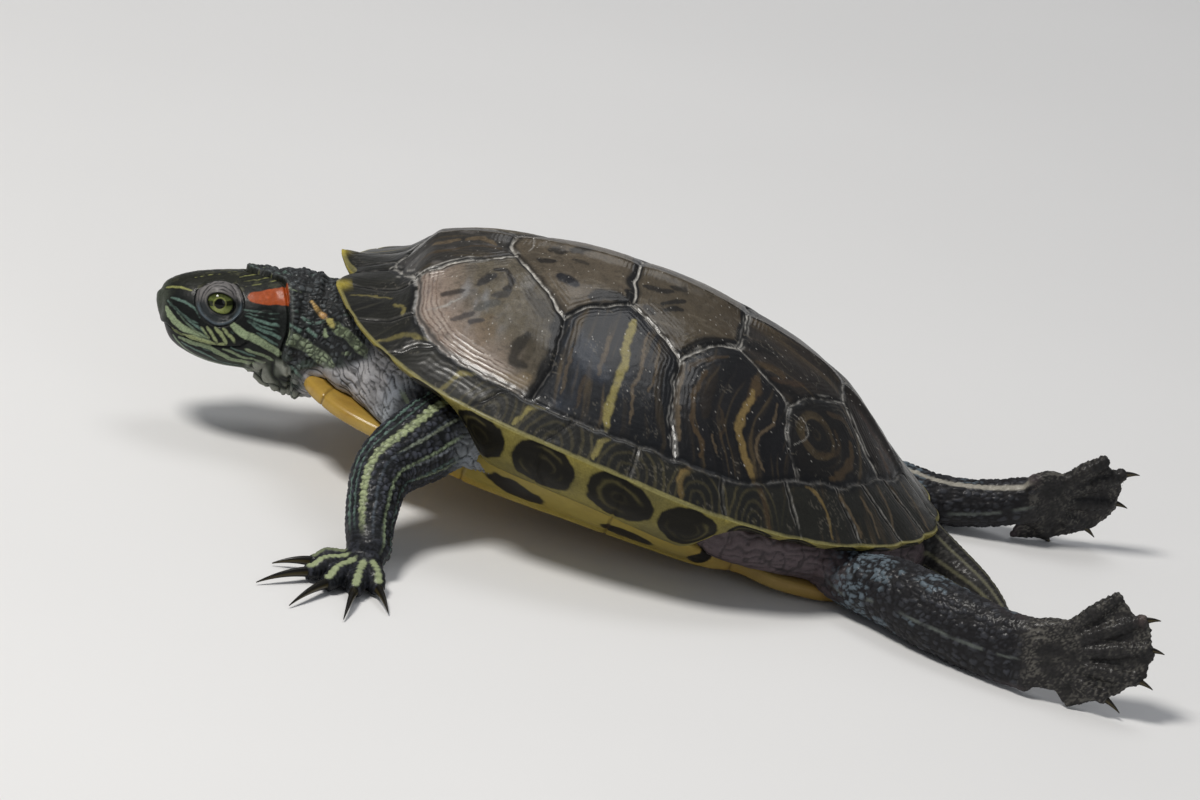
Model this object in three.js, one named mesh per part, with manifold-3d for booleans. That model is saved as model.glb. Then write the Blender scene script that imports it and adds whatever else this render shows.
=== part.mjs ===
// A red-eared slider, life size, in a still resting pose: the rear of the plastron, the palms,
// the hind feet and the tail lie on the floor, and the front of the shell is propped up on the
// forelegs. Millimetres, +Z up, head towards -X, the animal's left side towards -Y.
import * as THREE from "three";
import { mergeVertices } from "three/addons/utils/BufferGeometryUtils.js";
import Module from "manifold-3d";

const wasm = await Module();
wasm.setup();

// ---------------------------------------------------------------- driving dimensions
const GAP = 0.3; // clear space between neighbouring pieces
const SHELL_FRONT = -92; // along the animal, from the front edge of the carapace
const SHELL_REAR = 100.5; // to its rear edge
const WIDEST_AT = 13;
const SHELL_WIDTH = 146.5;
const FRONT_BLUNTNESS = 2.2; // superellipse powers of the outline in plan
const REAR_BLUNTNESS = 1.76;
const KEEL = [
  [-92, 34.2],
  [-84, 37.6],
  [-76, 42.5],
  [-68, 54],
  [-40, 61.8],
  [-6, 64.7],
  [28, 61],
  [60, 50.6],
  [84, 31.5],
  [100.5, 18.6],
]; // height of the midline over the plastron's plane
const RIM = [
  [-92, 32.4],
  [-60, 29.6],
  [0, 28.8],
  [60, 22.1],
  [100.5, 17.6],
]; // height of the marginal edge
const DOME = [
  [0, 1],
  [0.24, 0.89],
  [0.42, 0.735],
  [0.62, 0.54],
  [0.83, 0.265],
  [0.94, 0.09],
  [1, 0],
]; // share of the dome's height, by share of the half width
const RIM_THICKNESS = 4.2;
const MARGINAL_INSET = 12; // how far the marginals turn in under the rim
const BRIDGE_DROP = 17; // how far they turn down beside the bridge
const BRIDGE_FROM = -46; // where the bridge between the two shells starts and ends
const BRIDGE_TO = 37;
const BRIDGE_RUN_OUT = [8, 10]; // the lengths over which it fades, outside and inside its ends
const CARAPACE_RINGS = 18;
const CARAPACE_SIDES = 16;

const PLASTRON_THICKNESS = 4.6;
const PLASTRON_BEVEL = 1;
const PLASTRON_EDGE = [
  [-94, 8],
  [-91, 20],
  [-80, 32],
  [-66, 38.5],
  [-50, 43],
  [-40, 46],
  [-20, 48],
  [18, 49],
  [36, 49],
  [46, 45],
  [58, 47.5],
  [72, 44.5],
  [84, 34],
  [91.5, 19],
  [89, 7],
]; // half of the outline in plan, front to rear
const ANAL_NOTCH = 87.5;
const REST_AT = 82.7; // the point of the rear flat that is the part's origin

const PITCH = THREE.MathUtils.degToRad(8); // the front of the shell is propped up
const PITCH_AT = 80; // about the line of the plastron's rear that lies on the floor

const HEAD_AT = [-117.9, -3, 35.9];
const HEAD_FORWARD = [-0.9748, -0.1654, -0.1499];
const HEAD_UP = [-0.196, 0.1914, 0.9617];
const HEAD_SECTIONS = [
  [19, 3.4, 7.8, 0.2],
  [18.2, 5.4, 9.6, -3],
  [16, 7.9, 11.3, -7],
  [11.5, 10.8, 12.9, -10.4],
  [6, 12.7, 13.7, -13],
  [0, 13.9, 13.9, -14.5],
  [-8, 15.2, 14, -15.5],
  [-15, 15, 14.2, -16],
  [-19, 14.4, 14, -16.2],
]; // forward, half width, top, bottom
const HEAD_SIDES = 16;
const HEAD_RINGS = 11;
const HEAD_WAIST = 0.42; // share of the head's height at which it is widest
const HEAD_ROUNDNESS = 0.85;
const CROWN_NARROWING = 0.2;
const MOUTH_FRONT = [17, -1.7];
const MOUTH_CORNER = [-7.5, -7.2];
const JAW_BACK = -9;
const EYE_RADIUS = 5.2;
const EYE_AT = { forward: 2.1, side: 8.3, up: 5.7 };
const ORBIT = { forward: 7.2, side: 6.3, up: 6.3 };
const ORBIT_SET_IN = 1.4;

const LIMB_SIDES = 10;
const NECK_SIDES = 12;
const TAIL_SIDES = 8;
const TOE_SIDES = 6;
const CLAW_SIDES = 5;
const CLAW_TAPER = 0.82;
const CLAW_ROOT = 1.2; // how deep a claw sits in its toe
const TOE_START = 0.35; // where a toe leaves the palm and where its knuckle is, from the ankle
const TOE_KNUCKLE = 0.72;
const WEB_SCALLOP = 0.95; // reach of the web between two toes, as a share of its reach at them

// ---------------------------------------------------------------- numbers and curves
// A smooth value between the rows of [place, value, value...].
function along(rows, place, column = 1) {
  const last = rows.length - 1;
  const clamped = THREE.MathUtils.clamp(
    place,
    Math.min(rows[0][0], rows[last][0]),
    Math.max(rows[0][0], rows[last][0]),
  );
  const rising = rows[last][0] > rows[0][0];
  let i = 0;
  while (i < last - 1 && (rising ? clamped > rows[i + 1][0] : clamped < rows[i + 1][0])) i++;
  const slope = (k) => {
    const a = Math.max(k - 1, 0);
    const b = Math.min(k + 1, last);
    return (rows[b][column] - rows[a][column]) / (rows[b][0] - rows[a][0]);
  };
  const width = rows[i + 1][0] - rows[i][0];
  const t = (clamped - rows[i][0]) / width;
  const [p0, p1] = [rows[i][column], rows[i + 1][column]];
  const [m0, m1] = [slope(i) * width, slope(i + 1) * width];
  const t2 = t * t;
  const t3 = t2 * t;
  return (
    (2 * t3 - 3 * t2 + 1) * p0 +
    (t3 - 2 * t2 + t) * m0 +
    (3 * t2 - 2 * t3) * p1 +
    (t3 - t2) * m1
  );
}

const vector = (list) => new THREE.Vector3(...list);
const steps = (count) => Array.from({ length: count + 1 }, (_, i) => i / count);
const signedPower = (value, power) => Math.sign(value) * Math.abs(value) ** power;

// ---------------------------------------------------------------- solids
function solidFrom(geometry) {
  const bare = geometry.clone();
  bare.deleteAttribute("normal");
  bare.deleteAttribute("uv");
  const merged = mergeVertices(bare, 1e-4);
  const make = (triVerts) =>
    new wasm.Manifold(
      new wasm.Mesh({
        numProp: 3,
        vertProperties: merged.attributes.position.array,
        triVerts,
      }),
    );
  const solid = make(new Uint32Array(merged.index.array));
  return solid.volume() > 0 ? solid : make(new Uint32Array(merged.index.array).reverse());
}

function geometryFrom(solid) {
  const mesh = solid.getMesh();
  const positions = new Float32Array(mesh.numVert * 3);
  for (let i = 0; i < mesh.numVert; i++) {
    positions.set(mesh.vertProperties.subarray(i * mesh.numProp, i * mesh.numProp + 3), i * 3);
  }
  const geometry = new THREE.BufferGeometry();
  geometry.setAttribute("position", new THREE.BufferAttribute(positions, 3));
  geometry.setIndex(new THREE.BufferAttribute(mesh.triVerts, 1));
  geometry.computeVertexNormals();
  return geometry;
}

// A closed skin over rings of equally many points, its two ends closed to their middles.
function loft(rings, startBulge = 0, endBulge = 0) {
  const sides = rings[0].length;
  const points = rings.flat();
  const faces = [];
  for (let i = 0; i + 1 < rings.length; i++) {
    for (let j = 0; j < sides; j++) {
      const a = i * sides + j;
      const b = i * sides + ((j + 1) % sides);
      faces.push(a, b, a + sides, b, b + sides, a + sides);
    }
  }
  const middle = (ring) =>
    ring.reduce((sum, p) => sum.add(p), new THREE.Vector3()).divideScalar(sides);
  const close = (index, inner, bulge, turned) => {
    const centre = middle(rings[index]);
    const outwards = centre.clone().sub(middle(rings[inner])).normalize();
    points.push(centre.addScaledVector(outwards, bulge));
    for (let j = 0; j < sides; j++) {
      const a = index * sides + j;
      const b = index * sides + ((j + 1) % sides);
      if (turned) faces.push(points.length - 1, b, a);
      else faces.push(points.length - 1, a, b);
    }
  };
  close(0, 1, startBulge, true);
  close(rings.length - 1, rings.length - 2, endBulge, false);
  const geometry = new THREE.BufferGeometry();
  const positions = new Float32Array(points.flatMap((p) => [p.x, p.y, p.z]));
  geometry.setAttribute("position", new THREE.BufferAttribute(positions, 3));
  geometry.setIndex(faces);
  return solidFrom(geometry);
}

// A tapering limb along a smooth line through its stations: [x, y, z, half width, half depth].
// The depth is measured along the direction nearest to `face`.
function limb(stations, sides, count, face = new THREE.Vector3(0, 0, 1), power = 2) {
  const line = new THREE.CatmullRomCurve3(
    stations.map((s) => new THREE.Vector3(s[0], s[1], s[2])),
    false,
    "centripetal",
  );
  const sizes = stations.map((s, i) => [i / (stations.length - 1), s[3], s[4]]);
  const rings = steps(count).map((t) => {
    const centre = line.getPoint(t);
    const tangent = line.getTangent(t);
    const across = new THREE.Vector3().crossVectors(tangent, face).normalize();
    const deep = new THREE.Vector3().crossVectors(across, tangent).normalize();
    return Array.from({ length: sides }, (_, j) => {
      const turn = (2 * Math.PI * j) / sides;
      const x = signedPower(Math.cos(turn), 2 / power) * along(sizes, t, 1);
      const y = signedPower(Math.sin(turn), 2 / power) * along(sizes, t, 2);
      return centre.clone().addScaledVector(across, x).addScaledVector(deep, y);
    });
  });
  const first = stations[0];
  const last = stations[stations.length - 1];
  return loft(rings, 0.45 * first[4], 0.45 * last[4]);
}

// The same solid with its surface moved out along its normals, to cut its neighbours clear.
function grown(solid, by = GAP * 1.35) {
  const geometry = geometryFrom(solid);
  const merged = mergeVertices(geometry.deleteAttribute("normal"), 1e-4);
  merged.computeVertexNormals();
  const places = merged.attributes.position;
  const normals = merged.attributes.normal;
  for (let i = 0; i < places.count; i++) {
    places.setXYZ(
      i,
      places.getX(i) + normals.getX(i) * by,
      places.getY(i) + normals.getY(i) * by,
      places.getZ(i) + normals.getZ(i) * by,
    );
  }
  return solidFrom(merged);
}

const joined = (solids) => solids.reduce((all, one) => all.add(one));
const cut = (solid, others, by) =>
  biggest(others.reduce((left, other) => left.subtract(grown(other, by)), solid));

function biggest(solid) {
  const bodies = solid.decompose();
  return bodies.reduce((best, body) => (body.volume() > best.volume() ? body : best));
}

// Parts a solid at a plane into the piece behind it and the piece that its normal points to.
function partedAt(solid, point, normal) {
  const n = vector(normal).normalize();
  const offset = n.dot(vector(point));
  const ahead = solid.trimByPlane(n.toArray(), offset + GAP / 2);
  const behind = solid.trimByPlane(n.clone().negate().toArray(), -offset + GAP / 2);
  return [biggest(behind), biggest(ahead)];
}

const onFloor = (solid) => biggest(solid.trimByPlane([0, 0, 1], 0));

// ---------------------------------------------------------------- shell
const pitchMatrix = new THREE.Matrix4()
  .makeTranslation(PITCH_AT, 0, 0)
  .multiply(new THREE.Matrix4().makeRotationY(PITCH))
  .multiply(new THREE.Matrix4().makeTranslation(-PITCH_AT, 0, 0));
const pitched = (solid) => solid.transform(pitchMatrix.toArray());

function halfWidthAt(x) {
  const front = x < WIDEST_AT;
  const power = front ? FRONT_BLUNTNESS : REAR_BLUNTNESS;
  const end = front ? SHELL_FRONT : SHELL_REAR;
  const u = (x - WIDEST_AT) / (end - WIDEST_AT);
  return (SHELL_WIDTH / 2) * (1 - Math.min(u, 1) ** power) ** (1 / power);
}

// How much of the side is turned down to the bridge, 1 along the bridge and 0 at the pockets.
function bridged(x) {
  const [outside, inside] = BRIDGE_RUN_OUT;
  const rise = THREE.MathUtils.smoothstep(x, BRIDGE_FROM - outside, BRIDGE_FROM + inside);
  const fall = THREE.MathUtils.smoothstep(x, BRIDGE_TO - inside, BRIDGE_TO + outside);
  return rise * (1 - fall);
}

function makeCarapace() {
  const tip = 0.004;
  const rings = steps(CARAPACE_RINGS).map((v) => {
    const share = tip + (1 - 2 * tip) * (0.5 - 0.5 * Math.cos(Math.PI * v));
    const x = THREE.MathUtils.lerp(SHELL_FRONT, SHELL_REAR, share);
    const half = halfWidthAt(x);
    const keel = along(KEEL, x);
    const rim = along(RIM, x);
    const inset = Math.min(MARGINAL_INSET, half * 0.5);
    const drop = THREE.MathUtils.lerp(RIM_THICKNESS, BRIDGE_DROP, bridged(x));
    const top = steps(CARAPACE_SIDES).map((t) => {
      const across = Math.sin(Math.PI * (t - 0.5));
      return new THREE.Vector3(x, half * across, rim + (keel - rim) * along(DOME, Math.abs(across)));
    });
    const underside = [
      [1, 0.5],
      [1 - inset / half, 1],
      [(1 - inset / half) * 0.45, 1],
    ];
    const under = [
      ...underside.map(([y, z]) => new THREE.Vector3(x, half * y, rim - drop * z)),
      ...underside.toReversed().map(([y, z]) => new THREE.Vector3(x, -half * y, rim - drop * z)),
    ];
    under[0].set(x, half - inset * 0.25, rim - drop * 0.35);
    under[under.length - 1].set(x, -half + inset * 0.25, rim - drop * 0.35);
    return [...top, ...under];
  });
  return pitched(loft(rings));
}

function makePlastron(carapace) {
  const bevel = PLASTRON_BEVEL;
  const left = PLASTRON_EDGE.map(([x, y]) => new THREE.Vector2(x, -(y - bevel)));
  const right = PLASTRON_EDGE.toReversed().map(([x, y]) => new THREE.Vector2(x, y - bevel));
  const outline = new THREE.Shape([...left, new THREE.Vector2(ANAL_NOTCH, 0), ...right]);
  const plate = new THREE.ExtrudeGeometry(outline, {
    depth: PLASTRON_THICKNESS - 2 * bevel,
    bevelThickness: bevel,
    bevelSize: bevel,
    bevelSegments: 1,
    curveSegments: 1,
  }).translate(0, 0, bevel);
  const bridge = (side) =>
    loft(
      steps(7).map((v) => {
        const x = THREE.MathUtils.lerp(BRIDGE_FROM - 2, BRIDGE_TO + 2, v);
        const half = halfWidthAt(x);
        const rim = along(RIM, x);
        const seam = half - MARGINAL_INSET;
        const section = [
          [38, 1],
          [47.5, 1],
          [52, 4],
          [seam + 0.6, rim - BRIDGE_DROP + 0.5],
          [seam - 8, rim - BRIDGE_DROP + 3],
          [40, 8],
        ];
        return section.map(([y, z]) => new THREE.Vector3(x, side * y, z));
      }),
    );
  const whole = joined([solidFrom(plate), bridge(1), bridge(-1)]);
  return cut(onFloor(pitched(whole)), [carapace]);
}

// The flesh between the two shells, as it shows in the pockets round the limbs.
function makeTrunkForm() {
  const sections = [
    [-80, 24],
    [-66, 40],
    [-48, 49],
    [-30, 52],
    [30, 52],
    [50, 51],
    [66, 45],
    [80, 33],
    [90, 18],
  ];
  const floorOf = 3;
  const sides = 12;
  const rings = steps(6).map((v) => {
    const x = THREE.MathUtils.lerp(-80, 90, v);
    const half = along(sections, x);
    const top = along(RIM, x) - 1;
    return Array.from({ length: sides }, (_, j) => {
      const turn = (2 * Math.PI * (j + 0.5)) / sides;
      const y = half * signedPower(Math.cos(turn), 0.5);
      const z = (top + floorOf) / 2 + ((top - floorOf) / 2) * signedPower(Math.sin(turn), 0.5);
      return new THREE.Vector3(x, y, z);
    });
  });
  return pitched(loft(rings, 3, 3));
}

// ---------------------------------------------------------------- head and neck
const headFrame = (() => {
  const forward = vector(HEAD_FORWARD).normalize();
  const side = new THREE.Vector3().crossVectors(vector(HEAD_UP), forward).normalize();
  const up = new THREE.Vector3().crossVectors(forward, side).normalize();
  return new THREE.Matrix4().makeBasis(forward, side, up).setPosition(vector(HEAD_AT));
})();

function makeHeadParts() {
  const [front, back] = [HEAD_SECTIONS[0][0], HEAD_SECTIONS.at(-1)[0]];
  const rings = steps(HEAD_RINGS).map((v) => {
    const forward = THREE.MathUtils.lerp(front, back, v ** 1.5);
    const half = along(HEAD_SECTIONS, forward, 1);
    const top = along(HEAD_SECTIONS, forward, 2);
    const bottom = along(HEAD_SECTIONS, forward, 3);
    const middle = bottom + (top - bottom) * HEAD_WAIST;
    return Array.from({ length: HEAD_SIDES }, (_, j) => {
      const turn = (2 * Math.PI * j) / HEAD_SIDES;
      const rise = signedPower(Math.sin(turn), HEAD_ROUNDNESS);
      const up = middle + rise * (rise > 0 ? top - middle : middle - bottom);
      const narrowed = 1 - CROWN_NARROWING * Math.max(rise, 0) ** 2;
      const side = half * narrowed * signedPower(Math.cos(turn), HEAD_ROUNDNESS);
      return new THREE.Vector3(forward, side, up);
    });
  });
  const ball = (side, radii, shift = 0) =>
    solidFrom(
      new THREE.SphereGeometry(1, 10, 8)
        .scale(radii.forward, radii.side, radii.up)
        .translate(EYE_AT.forward, side * (EYE_AT.side + shift), EYE_AT.up),
    );
  const eyeSize = { forward: EYE_RADIUS, side: EYE_RADIUS, up: EYE_RADIUS };
  const eyes = [1, -1].map((side) => ball(side, eyeSize));
  const orbits = [1, -1].map((side) => ball(side, ORBIT, -ORBIT_SET_IN));
  const whole = cut(joined([loft(rings, 0.4, 0), ...orbits]), eyes, GAP);

  const slope = [MOUTH_FRONT[0] - MOUTH_CORNER[0], MOUTH_FRONT[1] - MOUTH_CORNER[1]];
  const mouthNormal = [-slope[1], 0, slope[0]];
  const mouthPoint = [MOUTH_FRONT[0], 0, MOUTH_FRONT[1]];
  const [below, above] = partedAt(whole, mouthPoint, mouthNormal);
  const jaw = biggest(below.trimByPlane([1, 0, 0], JAW_BACK + GAP / 2));
  const lowerRear = whole.trimByPlane([-1, 0, 0], -(JAW_BACK - GAP / 2));
  const place = (solid) => solid.transform(headFrame.toArray());
  return {
    head: place(joined([above, lowerRear])),
    lower_jaw: place(jaw),
    eye_left: place(eyes[0]),
    eye_right: place(eyes[1]),
  };
}

function makeNeck(headParts, shells) {
  const stations = [
    [-106, -0.8, 37.7, 13.5, 15.7],
    [-100, -0.4, 36.2, 15.8, 18.2],
    [-93, -0.2, 34.5, 17.2, 19],
    [-84, 0, 35.5, 18, 16],
    [-70, 0, 37, 18, 11.5],
  ];
  return cut(limb(stations, NECK_SIDES, 6), [...shells, ...Object.values(headParts)]);
}

// ---------------------------------------------------------------- feet
// A claw that leaves a toe along `direction` and bends down to its point.
function makeClaw(root, direction, length, radius, droop) {
  const across = new THREE.Vector3(-direction.y, direction.x, 0).normalize();
  const rings = steps(3).map((t) => {
    const centre = root
      .clone()
      .addScaledVector(direction, length * t)
      .add(new THREE.Vector3(0, 0, -droop * t * t));
    const size = radius * (1 - CLAW_TAPER * t);
    const deep = new THREE.Vector3().crossVectors(across, direction).normalize();
    return Array.from({ length: CLAW_SIDES }, (_, j) => {
      const turn = (2 * Math.PI * j) / CLAW_SIDES;
      return centre
        .clone()
        .addScaledVector(across, 0.8 * size * Math.cos(turn))
        .addScaledVector(deep, size * Math.sin(turn));
    });
  });
  return loft(rings, 0, radius * 0.15);
}

// A thin fan of skin between toe tips, all in one plane round the ankle.
function makeWeb(ankle, tips, reach, thickness) {
  const fan = tips.map((tip) => ankle.clone().lerp(tip, reach));
  const notches = fan.slice(1).map((tip, i) => {
    const between = tip.clone().add(fan[i]).multiplyScalar(0.5);
    return ankle.clone().lerp(between, WEB_SCALLOP);
  });
  const edge = fan.flatMap((tip, i) => (i < notches.length ? [tip, notches[i]] : [tip]));
  const normal = new THREE.Vector3()
    .crossVectors(fan[0].clone().sub(ankle), fan.at(-1).clone().sub(ankle))
    .normalize();
  const sheet = [ankle, ...edge];
  const faces = [];
  const count = sheet.length;
  for (let i = 1; i + 1 < count; i++) {
    faces.push(0, i, i + 1, count, count + i + 1, count + i);
  }
  for (let i = 0; i < count; i++) {
    const next = (i + 1) % count;
    faces.push(i, count + i, next, next, count + i, count + next);
  }
  const points = [1, -1].flatMap((face) =>
    sheet.map((p) => p.clone().addScaledVector(normal, (face * thickness) / 2)),
  );
  const geometry = new THREE.BufferGeometry();
  const positions = new Float32Array(points.flatMap((p) => p.toArray()));
  geometry.setAttribute("position", new THREE.BufferAttribute(positions, 3));
  geometry.setIndex(faces);
  return solidFrom(geometry);
}

// A foot: a palm that carries on from the leg, toes that fan out from it, webs and claws.
function makeFoot(foot) {
  const ankle = vector(foot.ankle);
  const toes = foot.toes.map(([x, y, z]) => new THREE.Vector3(x, y, z));
  const toesMiddle = toes
    .reduce((sum, tip) => sum.add(tip), new THREE.Vector3())
    .divideScalar(toes.length);
  const heart = ankle.clone().lerp(toesMiddle, foot.palmReach);
  const palm = limb(
    [
      [...ankle.toArray(), foot.wrist, foot.thickness * 1.1],
      [...ankle.clone().lerp(heart, 0.5).toArray(), foot.wrist * 1.15, foot.thickness * 0.95],
      [...heart.toArray(), foot.palmWidth, foot.thickness * 0.8],
    ],
    8,
    2,
    vector(foot.face),
    2.3,
  );
  const toeSolids = toes.map((tip) => {
    const start = ankle.clone().lerp(tip, TOE_START);
    const knuckle = ankle.clone().lerp(tip, TOE_KNUCKLE);
    return limb(
      [
        [...start.toArray(), foot.toe * 1.25, foot.toe * 1.2],
        [...knuckle.toArray(), foot.toe * 1.1, foot.toe * 1.1],
        [...tip.toArray(), foot.toe * 0.8, foot.toe * 0.8],
      ],
      TOE_SIDES,
      2,
      vector(foot.face),
    );
  });
  const claws = foot.clawLengths.map((length, i) => {
    const direction = toes[i].clone().sub(ankle).normalize();
    direction.z = Math.max(direction.z, foot.clawRise);
    direction.normalize();
    const root = toes[i].clone().addScaledVector(direction, -CLAW_ROOT);
    const drop = Math.max(root.z + direction.z * length - foot.clawTip, 0);
    return onFloor(makeClaw(root, direction, length, foot.claw, Math.min(drop, foot.clawDroop)));
  });
  const heel = foot.heel.map((tip) => vector(tip));
  const web = makeWeb(ankle, [...heel, ...toes], foot.webReach, foot.webThickness);
  const flesh = cut(onFloor(joined([palm, web, ...toeSolids])), claws);
  return { flesh, claws };
}

// Toe tips in a fan round the ankle: the angles of `spread` turn from `ahead` to `aside`.
function fanOfToes(ankle, ahead, aside, spread, lengths) {
  return spread.map((degrees, i) => {
    const turn = THREE.MathUtils.degToRad(degrees);
    return vector(ankle)
      .addScaledVector(vector(ahead).normalize(), Math.cos(turn) * lengths[i])
      .addScaledVector(vector(aside).normalize(), Math.sin(turn) * lengths[i])
      .toArray();
  });
}

const FORE = {
  spread: [-46, -21, 4, 29, 54],
  lengths: [14, 18, 19.5, 18.5, 15],
  toeHeight: 3,
  wrist: 6.2,
  palmWidth: 8.4,
  palmReach: 0.5,
  thickness: 4.6,
  toe: 2.7,
  webReach: 0.8,
  webThickness: 1.6,
  claw: 1.7,
  clawRise: 0.12,
  clawDroop: 5,
  clawTip: 0.9,
  face: [0, 0, 1],
  clawLengths: [14, 19, 20, 19, 13],
};

const HIND = {
  wrist: 9.2,
  palmWidth: 9.5,
  palmReach: 0.42,
  thickness: 3.4,
  toe: 2.3,
  webReach: 1,
  webThickness: 1.7,
  claw: 1.3,
  clawRise: -1,
  clawDroop: 1.8,
  clawTip: 0.5,
  clawLengths: [7, 6.5, 6.5, 7],
};

function makeForeleg(side) {
  const mirror = (p) => [p[0], p[1] * side, ...p.slice(2)];
  const elbow = mirror([-60, 67, 23.5]);
  const wrist = mirror([-59, 92, 7]);
  const whole = limb(
    [
      mirror([-42, 41, 33, 12, 11.5]),
      mirror([-50.5, 53, 29.5, 11, 12]),
      [...elbow, 8.8, 9.8],
      mirror([-61, 80, 14.5, 7.3, 8]),
      [...wrist, 6.4, 6],
    ],
    LIMB_SIDES,
    9,
    new THREE.Vector3(-0.4, 0, 1),
  );
  const ankle = mirror([-59.5, 93, 4.8]);
  const ahead = mirror([-0.4, 0.917, 0]);
  const aside = mirror([-0.917, -0.4, 0]);
  const toes = fanOfToes(ankle, ahead, aside, FORE.spread, FORE.lengths);
  toes.forEach((tip) => (tip[2] = FORE.toeHeight));
  const foot = makeFoot({ ...FORE, ankle, toes, heel: [] });
  const bend = vector(mirror([0.05, 1, -0.35])).toArray();
  const [upper, lower] = partedAt(onFloor(whole), elbow, bend);
  return { upper, lower: cut(lower, [foot.flesh, ...foot.claws]), foot };
}

function makeHindLeg(leg) {
  const whole = limb(leg.stations, LIMB_SIDES, 9, vector([0, 0.3, 1]));
  const fan = (angles, lengths) => fanOfToes(leg.ankle, leg.ahead, leg.aside, angles, lengths);
  const foot = makeFoot({
    ...HIND,
    ankle: leg.ankle,
    toes: fan(leg.spread, leg.lengths),
    heel: fan([leg.heelAngle], [leg.heelLength]),
    face: vector(leg.ahead).cross(vector(leg.aside)).toArray(),
  });
  const [upper, lower] = partedAt(onFloor(whole), leg.knee, leg.kneeNormal);
  return { upper, lower: cut(lower, [foot.flesh, ...foot.claws]), foot };
}

const LEFT_HIND = {
  knee: [98, -55, 11.6],
  kneeNormal: [1, -0.75, 0],
  ankle: [134, -78, 12],
  stations: [
    [64, -30, 17, 12, 10],
    [79.3, -42, 9.8, 10, 8.4],
    [91.4, -50, 11.4, 9.8, 10.2],
    [104, -60, 11.5, 8.8, 11],
    [116.5, -68, 11, 7, 10.8],
    [127, -74, 11.2, 5.4, 10.8],
    [135, -78.5, 12, 3.6, 11],
  ],
  ahead: [1, -0.18, 0],
  aside: [0, 0.25, 1],
  spread: [-15, 2, 17.5, 31, 46],
  lengths: [24.5, 32, 35, 35.5, 31.5],
  heelAngle: -41,
  heelLength: 18,
};

const RIGHT_HIND = {
  knee: [102, 39, 7.6],
  kneeNormal: [1, 0, 0.1],
  ankle: [130, 37.5, 14.5],
  stations: [
    [64, 30, 17, 12, 10],
    [79, 40, 10, 10, 8.6],
    [91, 40, 8.4, 9.6, 8.2],
    [102, 39, 7.8, 8.4, 7.6],
    [116, 38, 10, 6.4, 7.2],
    [130, 37.5, 14.5, 4.4, 7],
  ],
  ahead: [1, 0.3, 0],
  aside: [0, -0.25, 1],
  spread: [-62, -24, 4, 25, 40],
  lengths: [14, 19, 25, 29, 26],
  heelAngle: -108,
  heelLength: 15,
};

// ---------------------------------------------------------------- assembly
function makeTail(neighbours) {
  const stations = [
    [80, 0, 17, 11, 8],
    [94, -0.5, 12.5, 9, 7],
    [106, -4, 7.2, 6.6, 5.6],
    [117, -12, 4, 4.6, 4],
    [124, -23, 2.4, 3.1, 2.9],
    [128, -34, 1.5, 1.7, 1.7],
  ];
  return cut(onFloor(limb(stations, TAIL_SIDES, 9)), neighbours);
}

const carapace = makeCarapace();
const plastron = makePlastron(carapace);
const shells = [carapace, plastron];
const trunkForm = makeTrunkForm();
const body = [...shells, trunkForm];
const headParts = makeHeadParts();
const neck = makeNeck(headParts, body);
const tail = makeTail(body);
const legs = {
  fore_left: makeForeleg(-1),
  fore_right: makeForeleg(1),
  hind_left: makeHindLeg(LEFT_HIND),
  hind_right: makeHindLeg(RIGHT_HIND),
};

const MATERIALS = {
  carapace: { color: 0x4a4230, roughness: 0.42 },
  plastron: { color: 0xc9a545, roughness: 0.45 },
  skin: { color: 0x39402c, roughness: 0.62 },
  beak: { color: 0x6f7a3e, roughness: 0.5 },
  eye: { color: 0xa6b050, roughness: 0.12 },
  claw: { color: 0x231f1a, roughness: 0.4 },
};

const turtle = new THREE.Group();
turtle.position.x = -REST_AT;

function addPiece(name, solid, look) {
  const mesh = new THREE.Mesh(
    geometryFrom(solid),
    new THREE.MeshStandardMaterial({ ...MATERIALS[look], metalness: 0 }),
  );
  mesh.name = name;
  turtle.add(mesh);
}

addPiece("carapace", carapace, "carapace");
addPiece("plastron", plastron, "plastron");
addPiece("trunk", cut(trunkForm, shells), "skin");
addPiece("neck", neck, "skin");
addPiece("head", headParts.head, "skin");
addPiece("lower_jaw", headParts.lower_jaw, "beak");
addPiece("eye_left", headParts.eye_left, "eye");
addPiece("eye_right", headParts.eye_right, "eye");
addPiece("tail", tail, "skin");
for (const [name, leg] of Object.entries(legs)) {
  const [kind, side] = name.split("_");
  const words = kind === "fore" ? ["upper_arm", "forearm", "hand"] : ["thigh", "shank", "foot"];
  addPiece(`${words[0]}_${side}`, cut(leg.upper, body), "skin");
  addPiece(`${words[1]}_${side}`, cut(leg.lower, body), "skin");
  addPiece(`${words[2]}_${side}`, leg.foot.flesh, "skin");
  leg.foot.claws.forEach((claw, i) => addPiece(`claw_${name}_${i + 1}`, claw, "claw"));
}

export default turtle;
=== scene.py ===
import math

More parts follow.
